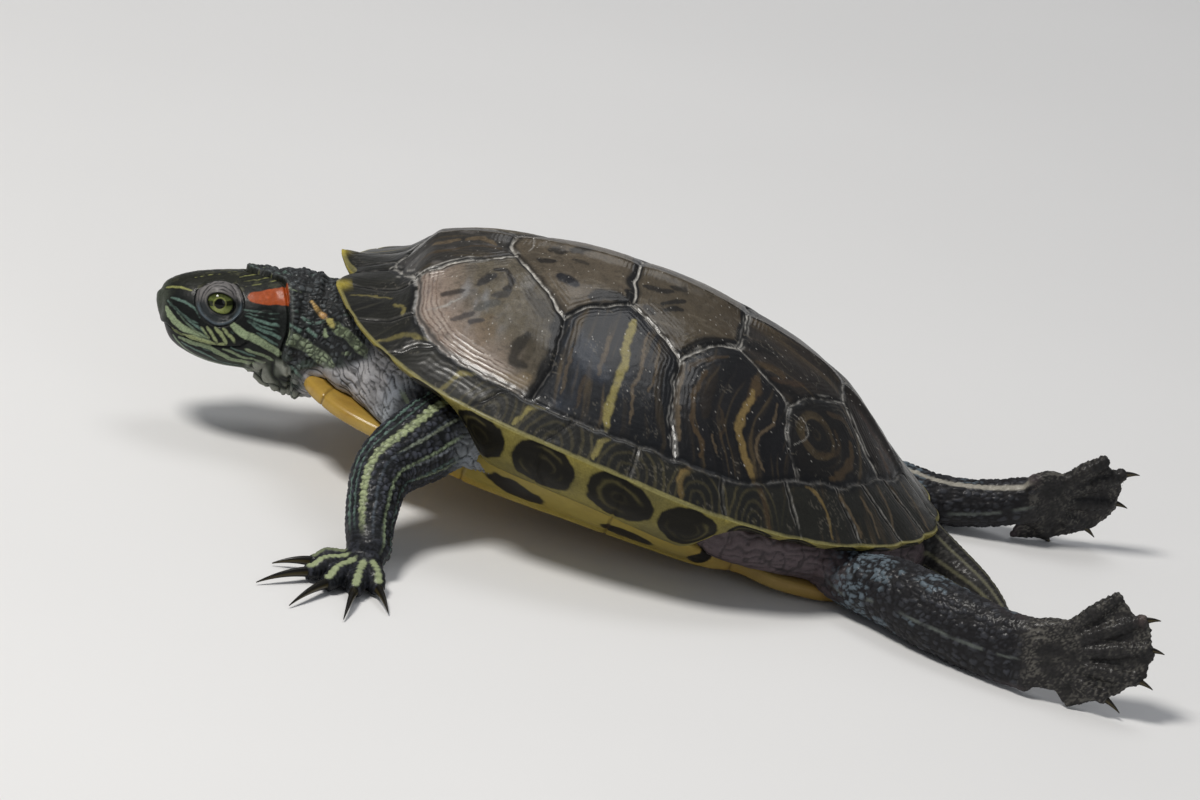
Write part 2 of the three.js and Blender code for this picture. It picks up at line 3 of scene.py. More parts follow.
import bmesh
import bpy
import numpy as np
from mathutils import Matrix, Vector


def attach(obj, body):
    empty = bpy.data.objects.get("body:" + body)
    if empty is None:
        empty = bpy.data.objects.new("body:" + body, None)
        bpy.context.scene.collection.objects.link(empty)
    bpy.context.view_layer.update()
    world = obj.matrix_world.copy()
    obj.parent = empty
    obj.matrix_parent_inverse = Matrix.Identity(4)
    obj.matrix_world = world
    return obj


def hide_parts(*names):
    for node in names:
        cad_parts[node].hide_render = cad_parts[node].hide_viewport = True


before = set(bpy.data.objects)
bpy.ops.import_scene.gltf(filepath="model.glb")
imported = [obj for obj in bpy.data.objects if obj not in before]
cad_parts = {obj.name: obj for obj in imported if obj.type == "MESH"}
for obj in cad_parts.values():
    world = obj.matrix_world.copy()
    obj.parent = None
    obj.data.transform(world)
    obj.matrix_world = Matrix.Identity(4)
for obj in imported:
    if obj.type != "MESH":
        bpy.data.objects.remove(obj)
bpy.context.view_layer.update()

# Everything is laid out in millimetres in the animal's own frame (head towards -X, left side
# towards -Y, floor at z = 0) and written to the meshes in metres, moved back by REST_AT.
REST_AT = 82.7
MM = 0.001
FINE = 0.44  # mm between the points of the shell's surface
VOXEL = 0.52  # mm between the points of the skin


# ---------------------------------------------------------------- numbers
def hermite(rows, place, column=1):
    """A smooth value between the rows of [place, value, value...]."""
    rows = np.asarray(rows, float)
    if rows[0, 0] > rows[-1, 0]:
        rows = rows[::-1]
    at, value = rows[:, 0], rows[:, column]
    k = np.arange(len(at))
    low, high = np.maximum(k - 1, 0), np.minimum(k + 1, len(at) - 1)
    slope = (value[high] - value[low]) / (at[high] - at[low])
    x = np.clip(place, at[0], at[-1])
    i = np.clip(np.searchsorted(at, x) - 1, 0, len(at) - 2)
    width = at[i + 1] - at[i]
    t = (x - at[i]) / width
    return (
        (2 * t**3 - 3 * t**2 + 1) * value[i]
        + (t**3 - 2 * t**2 + t) * slope[i] * width
        + (3 * t**2 - 2 * t**3) * value[i + 1]
        + (t**3 - t**2) * slope[i + 1] * width
    )


def smooth(a, b, x):
    t = np.clip((x - a) / (b - a), 0, 1)
    return t * t * (3 - 2 * t)


def bell(x, centre, width):
    return np.exp(-(((x - centre) / width) ** 2))


def unit(v):
    return v / np.maximum(np.linalg.norm(v, axis=-1, keepdims=True), 1e-12)


def mixed(a, b, t):
    return a + (b - a) * t


def srgb(red, green, blue):
    """A colour given as 0 to 255 display values, as linear light."""
    c = np.array([red, green, blue], float) / 255
    return np.where(c <= 0.04045, c / 12.92, ((c + 0.055) / 1.055) ** 2.4)


def scrambled(i, j, k, seed):
    h = (i * 73856093) ^ (j * 19349663) ^ (k * 83492791) ^ (seed * 2654435761)
    h = (h ^ (h >> 13)) * 1274126177 & 0xFFFFFFFF
    h = (h ^ (h >> 16)) * 2246822519 & 0xFFFFFFFF
    return (h ^ (h >> 15)) & 0xFFFFFF


def noise(p, size, seed=0, octaves=1):
    """Smooth noise from -1 to 1 over points in mm, with features of about `size` mm."""
    total, weight = 0.0, 0.0
    for octave in range(octaves):
        q = p * (2**octave / size) + 37.3 * octave
        cell = np.floor(q).astype(np.int64)
        f = q - cell
        f = f * f * (3 - 2 * f)
        value = 0.0
        for corner in range(8):
            o = [(corner >> s) & 1 for s in range(3)]
            share = 1.0
            for s in range(3):
                share = share * (f[:, s] if o[s] else 1 - f[:, s])
            h = scrambled(cell[:, 0] + o[0], cell[:, 1] + o[1], cell[:, 2] + o[2], seed + octave)
            value = value + share * (h / 0x7FFFFF - 1)
        total = total + value * 0.5**octave
        weight += 0.5**octave
    return total / weight


def scales(p, size, seed=0, squash=(1, 1, 1)):
    """Cells of about `size` mm: distance to the nearest centre, to the border, and a number per cell."""
    q = p * (np.array(squash) / size)
    cell = np.floor(q).astype(np.int64)
    first, second = np.full(len(p), 9.0), np.full(len(p), 9.0)
    name = np.zeros(len(p))
    for n in range(27):
        c = cell + np.array([n % 3 - 1, n // 3 % 3 - 1, n // 9 - 1])
        h = scrambled(c[:, 0], c[:, 1], c[:, 2], seed)
        place = np.stack([h & 0xFF, (h >> 8) & 0xFF, (h >> 16) & 0xFF], 1) / 255
        d = np.linalg.norm(c + 0.15 + 0.7 * place - q, axis=1)
        nearer = d < first
        second = np.where(nearer, first, np.minimum(second, d))
        name = np.where(nearer, (h % 977) / 976, name)
        first = np.where(nearer, d, first)
    return first, second - first, name


def curve(points, count):
    """Points spaced along a smooth curve through the given ones (centripetal Catmull-Rom)."""
    p = np.asarray(points, float)
    if len(p) == 2:
        return mixed(p[0], p[1], np.linspace(0, 1, count)[:, None])
    p = np.vstack([2 * p[0] - p[1], p, 2 * p[-1] - p[-2]])
    place = np.linspace(0, len(p) - 3, count)
    i = np.minimum(place.astype(int), len(p) - 4)
    t = (place - i)[:, None]
    a, b, c, d = (p[i + n] for n in range(4))
    ta, tb, tc = (
        np.maximum(np.sqrt(np.linalg.norm(v - u, axis=1))[:, None], 1e-4)
        for u, v in ((a, b), (b, c), (c, d))
    )
    m1 = ((b - a) / ta - (c - a) / (ta + tb) + (c - b) / tb) * tb
    m2 = ((c - b) / tb - (d - b) / (tb + tc) + (d - c) / tc) * tb
    return (
        (2 * t**3 - 3 * t**2 + 1) * b
        + (t**3 - 2 * t**2 + t) * m1
        + (3 * t**2 - 2 * t**3) * c
        + (t**3 - t**2) * m2
    )


def reach(points, line, limit, smoothing=6):
    """Distance from each point to a smooth line, and how far along it, within `limit` of it."""
    line = np.asarray(line, float)
    if smoothing and len(line) > 2:
        line = curve(line, (len(line) - 1) * smoothing + 1)
    away, along = np.full(len(points), 1e6), np.zeros(len(points))
    near = np.flatnonzero(
        np.all((points > line.min(0) - limit) & (points < line.max(0) + limit), axis=1)
    )
    q = points[near]
    best, place = np.full(len(q), 1e6), np.zeros(len(q))
    for n in range(len(line) - 1):
        a, ab = line[n], line[n + 1] - line[n]
        t = np.clip(((q - a) @ ab) / max(ab @ ab, 1e-9), 0, 1)
        d = np.linalg.norm(q - a - t[:, None] * ab, axis=1)
        place = np.where(d < best, (n + t) / (len(line) - 1), place)
        best = np.minimum(best, d)
    away[near], along[near] = best, place
    return away, along


def lay(tone, amount, colour):
    """Puts a colour over what is painted so far."""
    tone += (colour - tone) * np.clip(amount, 0, 1)[:, None]


def stroke(tone, points, line, width, colour, strength=1.0, soft=0.35, taper=0.0):
    """Paints a line of the given half width; `taper` narrows its two ends."""
    away, along = reach(points, line, width * 2 + 2)
    wide = width * (1 - taper * (2 * along - 1) ** 4)
    lay(tone, strength * (1 - smooth(wide * (1 - soft), wide * (1 + soft), away)), colour)


# ---------------------------------------------------------------- meshes and pieces
def mesh_of(name, points, faces):
    mesh = bpy.data.meshes.new(name)
    sides = faces.shape[1]
    mesh.vertices.add(len(points))
    mesh.vertices.foreach_set("co", ((points - [REST_AT, 0, 0]) * MM).astype(np.float32).ravel())
    mesh.loops.add(faces.size)
    mesh.loops.foreach_set("vertex_index", faces.astype(np.int32).ravel())
    mesh.polygons.add(len(faces))
    mesh.polygons.foreach_set("loop_start", np.arange(0, faces.size, sides, dtype=np.int32))
    mesh.update(calc_edges=True)
    mesh.polygons.foreach_set("use_smooth", np.ones(len(faces), bool))
    return mesh


def points_of(mesh):
    co = np.empty(len(mesh.vertices) * 3, np.float32)
    mesh.vertices.foreach_get("co", co)
    return co.reshape(-1, 3).astype(float) / MM + [REST_AT, 0, 0]


def normals_of(mesh):
    no = np.empty(len(mesh.vertices) * 3, np.float32)
    mesh.vertex_normals.foreach_get("vector", no)
    return no.reshape(-1, 3).astype(float)


def place_points(mesh, points):
    mesh.vertices.foreach_set("co", ((points - [REST_AT, 0, 0]) * MM).astype(np.float32).ravel())
    mesh.update()


def paint(mesh, tone, rough, coat=0.0):
    """Keeps a colour at each point, and its roughness and coat as red and green of a second layer."""
    colours = np.concatenate([np.clip(tone, 0, 1), np.ones((len(tone), 1))], axis=1)
    layer = mesh.color_attributes.new("tone", "FLOAT_COLOR", "POINT")
    layer.data.foreach_set("color", colours.astype(np.float32).ravel())
    gloss = np.stack([np.clip(rough, 0, 1), coat + 0 * rough, 0 * rough, 1 + 0 * rough], axis=1)
    layer = mesh.color_attributes.new("rough", "FLOAT_COLOR", "POINT")
    layer.data.foreach_set("color", gloss.astype(np.float32).ravel())


def add_piece(name, mesh, material, nodes):
    piece = bpy.data.objects.new(name, mesh)
    bpy.context.scene.collection.objects.link(piece)
    mesh.materials.append(material)
    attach(piece, "root")
    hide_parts(*nodes)
    return piece


def ringed(rings, closed_ends=True):
    """Points and quads over rings of equally many points; ends closed by shrinking fans."""
    rings = np.asarray(rings)
    if closed_ends:
        caps = []
        for ring, nxt in ((rings[0], rings[1]), (rings[-1], rings[-2])):
            middle = ring.mean(0)
            size = np.linalg.norm(ring - middle, axis=1).mean()
            out = unit(middle - nxt.mean(0))
            caps.append(
                [middle + (ring - middle) * math.cos(a) + out * size * 0.55 * math.sin(a)
                 for a in np.radians([30, 55, 75, 86])]
            )
        rings = np.concatenate([caps[0][::-1], rings, caps[1]])
    count, sides = rings.shape[:2]
    i = np.arange(count - 1)[:, None] * sides
    j = np.arange(sides)[None]
    nxt = (j + 1) % sides
    quads = np.stack([i + j, i + nxt, i + sides + nxt, i + sides + j], -1).reshape(-1, 4)
    points = rings.reshape(-1, 3)
    first, last = len(points), len(points) + 1
    points = np.vstack([points, rings[0].mean(0), rings[-1].mean(0)])
    pair = np.arange(0, sides, 2)
    head = np.stack([np.full(len(pair), first), (pair + 2) % sides, pair + 1, pair], -1)
    base = (count - 1) * sides
    tail = np.stack([np.full(len(pair), last), base + pair, base + pair + 1,
                     base + (pair + 2) % sides], -1)
    return points, np.vstack([quads, head, tail])


# ---------------------------------------------------------------- shell outline
SHELL_FRONT, SHELL_REAR, WIDEST_AT, SHELL_HALF = -92.0, 100.5, 13.0, 73.25
KEEL = [[-92, 34.2], [-84, 37.6], [-76, 42.5], [-68, 54], [-40, 61.8], [-6, 64.7], [28, 61],
        [60, 50.6], [84, 31.5], [100.5, 18.6]]
RIM = [[-92, 32.4], [-60, 29.6], [0, 28.8], [60, 22.1], [100.5, 17.6]]
DOME = [[0, 1], [0.24, 0.89], [0.42, 0.735], [0.62, 0.54], [0.83, 0.265], [0.94, 0.09], [1, 0]]
PITCH, PITCH_AT = math.radians(8), 80.0
MARGINAL_INSET, RIM_THICKNESS, BRIDGE_DROP = 12.0, 4.2, 17.0


def half_width(x):
    front = x < WIDEST_AT
    power = np.where(front, 2.2, 1.76)
    end = np.where(front, SHELL_FRONT, SHELL_REAR)
    u = np.clip((x - WIDEST_AT) / (end - WIDEST_AT), 0, 1)
    return SHELL_HALF * (1 - u**power) ** (1 / power)


def dome_height(x, y):
    rim = hermite(RIM, x)
    share = np.clip(np.abs(y) / np.maximum(half_width(x), 1e-6), 0, 1)
    return rim + (hermite(KEEL, x) - rim) * hermite(DOME, share)


def bridged(x):
    return smooth(-54, -36, x) * (1 - smooth(27, 45, x))


def pitched(p):
    c, s = math.cos(PITCH), math.sin(PITCH)
    x, z = p[..., 0] - PITCH_AT, p[..., 2]
    return np.stack([PITCH_AT + x * c + z * s, p[..., 1], -x * s + z * c], -1)


def unpitched(p):
    c, s = math.cos(PITCH), math.sin(PITCH)
    x, z = p[..., 0] - PITCH_AT, p[..., 2]
    return np.stack([PITCH_AT + x * c - z * s, p[..., 1], x * s + z * c], -1)


def outline(half_at, front, rear, count):
    """A closed symmetric outline in plan from the front round the left side, `count` points."""
    v = np.linspace(0, 1, 4001)
    x = front + (rear - front) * (0.5 - 0.5 * np.cos(np.pi * v))
    y = half_at(x)
    run = np.concatenate([[0], np.cumsum(np.hypot(np.diff(x), np.diff(y)))])
    even = np.linspace(0, run[-1], count // 2 + 1)
    x, y = np.interp(even, run, x), np.interp(even, run, y)
    y[0] = y[-1] = 0
    return np.concatenate([np.stack([x, -y], 1), np.stack([x, y], 1)[-2:0:-1]])


def folded_quads(rings, count):
    """Quads of rings that start from a line folded onto itself at ring 0."""
    i = np.arange(rings - 1)[:, None] * count
    j = np.arange(count)[None]
    nxt = (j + 1) % count
    quads = np.stack([i + j, i + nxt, i + count + nxt, i + count + j], -1).reshape(-1, 4)
    return quads


def fold(index, count):
    """Joins the two sides of the first and the last ring of a closed folded sheet."""
    j = np.arange(count)
    index[:count] = np.minimum(j, (count - j) % count)
    last = len(index) - count
    index[last:] = last + np.minimum(j, (count - j) % count)
    return index


def closed_sheet(rings):
    """A closed surface from rings whose first and last are lines folded onto themselves."""
    depth, count = rings.shape[:2]
    points = rings.reshape(-1, 3)
    index = fold(np.arange(len(points)), count)
    quads = index[folded_quads(depth, count)]
    kept = np.unique(quads)
    lookup = np.zeros(len(points), int)
    lookup[kept] = np.arange(len(kept))
    return points[kept], lookup[quads], kept


def grid_normals(rings):
    around = np.roll(rings, -1, axis=1) - np.roll(rings, 1, axis=1)
    outwards = np.gradient(rings, axis=0)
    n = np.cross(outwards, around)
    return unit(n)


# ---------------------------------------------------------------- scutes
# Seams between the scutes of the left side in plan, [along, across], mm.
SEAMS = {
    "cervical": [[-78.4, 0], [-78.0, 3.2], [-84, 2.7], [-92.5, 2.4]],
    "v1_front": [[-78.0, 3.2], [-75.4, 10], [-71.5, 18.5]],
    "v1_p1": [[-71.5, 18.5], [-65.8, 17], [-60.7, 14.9], [-53, 12.4], [-45.6, 9.2]],
    "v1_v2": [[-45.6, 9.2], [-47.9, 4.7], [-46.9, 0]],
    "v2_p1": [[-45.6, 9.2], [-36.7, 19.2], [-26.4, 31.2]],
    "v2_p2": [[-26.4, 31.2], [-24.2, 28.2], [-17.7, 23.9], [-12.3, 20.9], [-8.6, 18.9]],
    "v2_v3": [[-8.6, 18.9], [-8.6, 12.7], [-9.6, 8.4], [-9.2, 0]],
    "v3_p2": [[-8.6, 18.9], [1.3, 25.5], [9.8, 32.1]],
    "v3_p3": [[9.8, 32.1], [14.1, 26], [19.6, 21.1], [25.5, 17.4]],
    "v3_v4": [[25.5, 17.4], [26.2, 10.9], [25.6, 5], [25.2, 0]],
    "v4_p3": [[25.5, 17.4], [34.7, 21.4], [44.7, 26.3]],
    "v4_p4": [[44.7, 26.3], [48.7, 21], [54.3, 14.1], [60.7, 7.6]],
    "v4_v5": [[60.7, 7.6], [58.9, 2.2], [58.2, 0]],
    "v5_p4": [[60.7, 7.6], [69.1, 14.1], [77.8, 17.0]],
    "p1_p2": [[-26.4, 31.2], [-25.4, 41.6], [-25.9, 50.1], [-28.5, 59.4]],
    "p2_p3": [[9.8, 32.1], [10.2, 42], [13.1, 55.4], [16.6, 62.8]],
    "p3_p4": [[44.7, 26.3], [47, 37.4], [53.8, 45.8]],
}
COSTAL_EDGE = [[-71.5, 18.5], [-67.8, 35.5], [-58.4, 46.8], [-51.4, 50.7], [-40, 55.6], [-28.5, 59.4],
               [-17, 61.8], [-6.8, 63.4], [5.4, 63.3], [16.6, 62.8], [30.9, 60.7], [42, 55.2],
               [53.8, 45.8], [64.8, 37.9], [72, 28.5], [77.8, 17.0], [82.6, 9.4], [84.6, 0]]
# The seams between the marginal scutes, [rim end, inner end].
MARGINAL_SEAMS = [
    [[-92.5, 2.4], [-78.0, 3.2]],
    [[-91.3, 11.4], [-71.8, 19.6]],
    [[-85.3, 30.5], [-68.2, 34.6]],
    [[-73.1, 46.2], [-59.6, 45.9]],
    [[-44.8, 62.8], [-34.6, 57.4]],
    [[-21.1, 69.6], [-14.6, 62.4]],
    [[5.2, 73.2], [5.6, 63.3]],
    [[36.5, 70.5], [31.2, 60.6]],
    [[60, 58.6], [50.2, 49.4]],
    [[77.8, 43.2], [65.2, 37.6]],
    [[89.3, 27.5], [72.6, 27.4]],
    [[97.2, 14.2], [78.6, 15.4]],
    [[100.6, 0], [84.8, 0]],
]


def chain(*parts):
    """One outline from seams laid end to end; a name with a minus runs backwards."""
    out = []
    for part in parts:
        line = SEAMS[part.lstrip("-")] if isinstance(part, str) else part
        line = curve(line, 4 * len(line))
        out += list(line[::-1] if isinstance(part, str) and part[0] == "-" else line)
    return np.array(out)


def edge_between(first, last):
    return [p for p in COSTAL_EDGE if first <= p[0] <= last]


SCUTES = {
    "v1": chain([[-78.4, 0], [-78, 3.2]], "v1_front", "v1_p1", "v1_v2"),
    "v2": chain("-v1_v2", "v2_p1", "v2_p2", "v2_v3"),
    "v3": chain("-v2_v3", "v3_p2", "v3_p3", "v3_v4"),
    "v4": chain("-v3_v4", "v4_p3", "v4_p4", "v4_v5"),
    "v5": chain("-v4_v5", "v5_p4", edge_between(77, 90)),
    "p1": chain("v1_p1", "v2_p1", "p1_p2", edge_between(-72, -28)[::-1]),
    "p2": chain("-p1_p2", "v2_p2", "v3_p2", "p2_p3", edge_between(-29, 17)[::-1]),
    "p3": chain("-p2_p3", "v3_p3", "v4_p3", "p3_p4", edge_between(16, 54)[::-1]),
    "p4": chain("-p3_p4", "v4_p4", "v5_p4", edge_between(53, 78)[::-1]),
}


def inside(shape, q):
    """Whether each point in plan is inside a closed outline."""
    result = np.zeros(len(q), bool)
    for a, b in zip(shape, np.roll(shape, -1, axis=0)):
        crosses = (a[1] > q[:, 1]) != (b[1] > q[:, 1])
        with np.errstate(divide="ignore", invalid="ignore"):
            at = a[0] + (q[:, 1] - a[1]) / (b[1] - a[1]) * (b[0] - a[0])
        result ^= crosses & (q[:, 0] < at)
    return result


# ---------------------------------------------------------------- carapace
OLIVE, DARK, BLACK = srgb(58, 55, 44), srgb(30, 30, 28), srgb(13, 14, 16)
TAN, PINK, PALE = srgb(136, 118, 92), srgb(158, 140, 128), srgb(206, 203, 196)
BROWN, YELLOW, GOLD = srgb(100, 82, 58), srgb(176, 164, 100), srgb(158, 134, 84)
# A blue grey used for painted sheen on the second costal.
SHEEN_BLUE = srgb(70, 78, 92)

# How each seam shows: strength and half width of its pale line, and where its side lines run.
SEAM_LOOKS = {
    "cervical": (0.5, 0.3, 0), "v1_front": (0.75, 0.4, 1.3), "v1_p1": (0.95, 0.42, 1.25),
    "v1_v2": (0.8, 0.45, 0.9), "v2_p1": (0.95, 0.36, 0), "v2_p2": (0.85, 0.34, 0),
    "v2_v3": (0.9, 0.42, 0), "v3_p2": (0.8, 0.34, 1.2), "v3_p3": (0.75, 0.34, 0.8),
    "v3_v4": (0.6, 0.34, 0.9), "v4_p3": (0.6, 0.3, 0), "v4_p4": (0.6, 0.3, 1.0),
    "v4_v5": (0.6, 0.34, 0.8), "v5_p4": (0.85, 0.4, 1.0), "p1_p2": (0.12, 0.3, 0),
    "p2_p3": (0.5, 0.3, 0.9), "p3_p4": (0.45, 0.26, 0.8),
}
# Black bands that keep to one side of a seam: scute, seam, width.
BLACK_BANDS = [
    ("v3", "v3_p3", 2.7), ("v3", "v3_v4", 2.3), ("v2", "v2_v3", 2.4), ("v2", "v2_p2", 1.2),
    ("p1", "p1_p2", 3.2), ("v3", "v2_v3", 0.9), ("p1", "v2_p1", 0.9), ("v4", "v3_v4", 0.8),
]
# Marks on the scutes: scute, line in plan, half width, colour, strength.
MARKS = [
    ("v1", [[-70, 4.9], [-67.5, 5.3], [-63.6, 3.7]], 0.8, TAN, 0.7),
    ("v1", [[-61, 3.8], [-57.2, 3.5], [-52, 5.2]], 0.8, TAN, 0.7),
    ("v1", [[-70.9, 10.2], [-66, 10], [-58.9, 7.4], [-50, 7]], 0.5, BROWN, 0.5),
    ("p1", [[-47.8, 43.3], [-46.8, 36.8]], 3.0, srgb(150, 118, 76), 0.22),
    ("p1", [[-62.2, 29], [-59.8, 28.4], [-56.9, 27.8]], 1.0, srgb(52, 48, 50), 0.8),
    ("p1", [[-53.1, 24.4], [-52, 22.4], [-50, 20.2]], 1.2, srgb(50, 52, 58), 0.8),
    ("p1", [[-50, 17.7], [-47.5, 17.6], [-45.5, 19.4], [-44, 22.1], [-44.3, 24.4], [-45.8, 25.1]],
     0.9, srgb(40, 38, 40), 0.85),
    ("p1", [[-48.5, 27.9], [-45.9, 27], [-44, 25.5]], 1.0, srgb(60, 62, 66), 0.7),
    ("p1", [[-51.6, 33.2], [-49.3, 31.4], [-46.3, 30.1]], 1.3, srgb(88, 92, 92), 0.6),
    ("p1", [[-57.5, 37.3], [-54.6, 36.3], [-52.2, 35]], 1.0, srgb(66, 66, 72), 0.7),
    ("p1", [[-52.7, 38.4], [-50.5, 37.5], [-48.7, 37.2]], 0.9, srgb(60, 64, 74), 0.7),
    ("p1", [[-35.4, 40.2], [-36.7, 45.6], [-36.5, 49.3], [-32.8, 50.5]], 1.6, srgb(44, 40, 33), 0.85),
    ("p1", [[-34.6, 41], [-33, 46], [-33.5, 49]], 1.0, srgb(70, 62, 46), 0.5),
    ("p1", [[-38.6, 24.8], [-34.4, 28.3], [-31.8, 31.5]], 2.2, srgb(54, 48, 36), 0.6),
    ("p1", [[-40, 54.2], [-34.5, 55.4], [-31, 53.6]], 1.8, srgb(150, 132, 102), 0.8),
    ("p1", [[-64.6, 34.1], [-61.7, 33.3], [-59, 31.6], [-56.7, 30]], 0.3, PALE, 0.8),
    ("v2", [[-38.8, 9.9], [-36.5, 9.6], [-34.7, 9]], 1.2, srgb(46, 42, 38), 0.9),
    ("v2", [[-31.6, 15.7], [-29.1, 16.7], [-26.9, 18.2]], 1.7, srgb(26, 28, 38), 0.95),
    ("v2", [[-36.1, 3.7], [-34, 3.4], [-31.9, 3.2]], 1.2, srgb(50, 46, 40), 0.85),
    ("v2", [[-29.8, 1.8], [-26.1, -0.5], [-21.6, -3]], 1.8, srgb(44, 42, 38), 0.85),
    ("v2", [[-28.5, 6.7], [-26.5, 6.8], [-24.4, 7.1]], 1.1, srgb(62, 56, 48), 0.75),
    ("v2", [[-20.2, 22], [-18.2, 19.6], [-14.3, 18.4], [-11.5, 18]], 1.7, BLACK, 0.95),
    ("v2", [[-11.2, 14.6], [-9.5, 15.6]], 1.6, BLACK, 0.9),
    ("v2", [[-41.8, -8], [-41.6, 1.3], [-41.4, 6.2]], 0.2, PALE, 0.5),
    ("v2", [[-28.5, 20.5], [-24.5, 21.5]], 1.5, srgb(140, 128, 112), 0.6),
    ("v3", [[-6.4, 9.1], [-2.3, 8.5], [1.6, 6.4]], 1.2, srgb(44, 40, 36), 0.9),
    ("v3", [[1.3, 4.3], [3.4, 4], [5.4, 3.5]], 1.1, srgb(48, 44, 38), 0.85),
    ("v3", [[-0.6, 15.3], [2.5, 12.2], [6.3, 8.9]], 0.9, srgb(36, 33, 30), 0.9),
    ("v3", [[0.9, 17.2], [4.1, 14.6], [6.4, 13.5]], 1.0, srgb(30, 28, 26), 0.9),
    ("v3", [[-5.5, 18.1], [-2.2, 19.7]], 1.1, srgb(40, 36, 32), 0.85),
    ("v3", [[-1.2, -3.1], [2.4, -6]], 0.9, srgb(50, 45, 38), 0.7),
    # Painted sheen: a broad blue grey patch on the second costal.
    ("p2", [[-18.1, 39.3], [-16.1, 44.8], [-11.1, 48.3]], 3.2, SHEEN_BLUE, 0.55),
    ("p2", [[-5, 44], [-4, 52]], 2.0, srgb(44, 50, 62), 0.5),
    ("p2", [[-7, 25.6], [-7.2, 32.8], [-6.6, 38.6], [-6.3, 46.7], [-6.6, 57.1], [-5.2, 62.3]],
     1.15, YELLOW, 0.95),
    ("p2", [[-1, 28], [-1.2, 39.1], [-0.9, 51], [0.2, 59]], 0.45, TAN, 0.6),
    ("p2", [[2.7, 30.4], [3.2, 39.9], [3.1, 48]], 0.4, TAN, 0.55),
    ("p2", [[-12.3, 34], [-12.2, 42.1], [-12.1, 48]], 0.6, TAN, 0.45),
    ("p2", [[-21, 42], [-21.3, 48.7], [-21.3, 56]], 0.5, TAN, 0.45),
    ("p2", [[-16, 50], [-15.5, 59]], 0.5, BROWN, 0.5),
    ("p3", [[11.6, 33.5], [11.5, 38.4], [12.4, 46.3], [14.2, 52.8], [16, 57]], 0.8, TAN, 0.8),
    ("p3", [[17.9, 32], [16.8, 43.2], [18.2, 50.2], [21.9, 54.9], [23.2, 58.5]], 0.65, BROWN, 0.85),
    ("p3", [[20, 30], [19.6, 40], [21, 47]], 1.6, srgb(60, 50, 38), 0.5),
    ("p3", [[25, 51], [27, 55.6]], 0.4, TAN, 0.5),
    ("p3", [[33.6, 24.8], [33.9, 29], [33, 34]], 1.7, BROWN, 0.9),
    ("p3", [[33.4, 30], [33.4, 33.5], [31.4, 39.4], [31.9, 45.8], [34.3, 49.2], [37.8, 52.5], [40.6, 55.4]],
     1.0, GOLD, 0.9),
    ("p3", [[40.5, 28.8], [41, 35.9], [38.1, 42.3], [38.4, 46.5], [41.7, 51]], 0.45, TAN, 0.65),
    ("p3", [[13.2, 34.6], [15, 30], [19, 26.6], [23.2, 23.5]], 0.6, BROWN, 0.6),
    ("p3", [[24.3, 42], [27.5, 47.3], [27.4, 50.5]], 0.5, BROWN, 0.4),
    ("v4", [[28.7, 14.1], [32.7, 11.3], [36, 11.2]], 2.0, BLACK, 0.7),
    ("v4", [[31.9, 19.4], [36.5, 17.4], [40.6, 18.2]], 1.0, BROWN, 0.6),
    ("v4", [[37.2, 20.9], [42.1, 19.3], [47.2, 16]], 0.8, srgb(96, 76, 58), 0.5),
    ("v4", [[34, 5], [44, 7], [52, 5]], 1.6, srgb(78, 68, 58), 0.5),
    ("p4", [[46.9, 28.4], [49.4, 27.7], [51.6, 29], [52.6, 32], [51.2, 36], [49.4, 37.4]], 0.16, PALE, 0.5),
    ("p4", [[48.6, 30], [49.8, 33]], 1.1, srgb(80, 70, 44), 0.6),
    ("p4", [[65.9, 19.9], [67.6, 24.5], [66, 32], [62.7, 37]], 0.9, BROWN, 0.8),
    ("p4", [[57, 18.6], [62, 15.5], [66, 17]], 0.8, srgb(92, 78, 62), 0.7),
    ("p4", [[60, 22], [62.6, 26], [61, 31], [57, 34]], 0.6, BROWN, 0.45),
    ("v5", [[75.5, 8], [78.3, 8.8], [81.1, 10.5]], 0.8, srgb(104, 78, 54), 0.7),
    ("v5", [[66, 4], [74, 5], [80, 4]], 1.0, srgb(84, 62, 48), 0.5),
    ("m", [[-74.6, 26.7], [-72.2, 30.5], [-71.3, 33]], 0.4, YELLOW, 0.65),
    ("m", [[-88, 18.5], [-82, 19.5], [-76, 23]], 0.35, YELLOW, 0.6),
    ("m", [[-76, 41.6], [-71.3, 41.4], [-67.3, 41.8], [-62.7, 43.8]], 0.6, YELLOW, 0.8),
    ("m", [[-54.5, 58.5], [-52.3, 56.5], [-50.9, 54.3], [-46, 53.5]], 0.7, YELLOW, 0.85),
    ("m", [[-31, 66.5], [-29.5, 64.2], [-28, 61.7], [-24.4, 60.9]], 0.8, YELLOW, 0.85),
    ("m", [[-6, 71], [-5.4, 68.5], [-5.1, 66.6], [-3.1, 64.7]], 0.9, YELLOW, 0.85),
    ("m", [[21.8, 71.6], [20.8, 68.8], [19.9, 65.9], [21.7, 63]], 1.0, GOLD, 0.9),
    ("m", [[41.1, 55.8], [44.6, 57.3], [47.8, 60.2], [49.9, 64]], 0.75, BROWN, 0.9),
    ("m", [[56.5, 45.5], [60.7, 44.8], [65, 46.6], [68.6, 50]], 0.5, GOLD, 0.75),
    ("m", [[66.4, 38], [72.1, 38.6], [76.7, 41]], 0.45, TAN, 0.7),
    ("m", [[73.2, 31.5], [78.3, 32.6], [82.4, 36]], 0.45, TAN, 0.7),
    ("m", [[77.6, 21], [82, 22.4], [87.4, 27]], 0.45, TAN, 0.6),
    ("m", [[80, 14], [88, 15], [93.5, 19]], 0.5, BROWN, 0.6),
    ("m", [[84, 7], [90.7, 8.4], [97, 11]], 0.45, TAN, 0.6),
]
MARK_DEPTH, PALE_MARK_DEPTH, MARK_GROWTH = 0.45, 0.5, 1.1
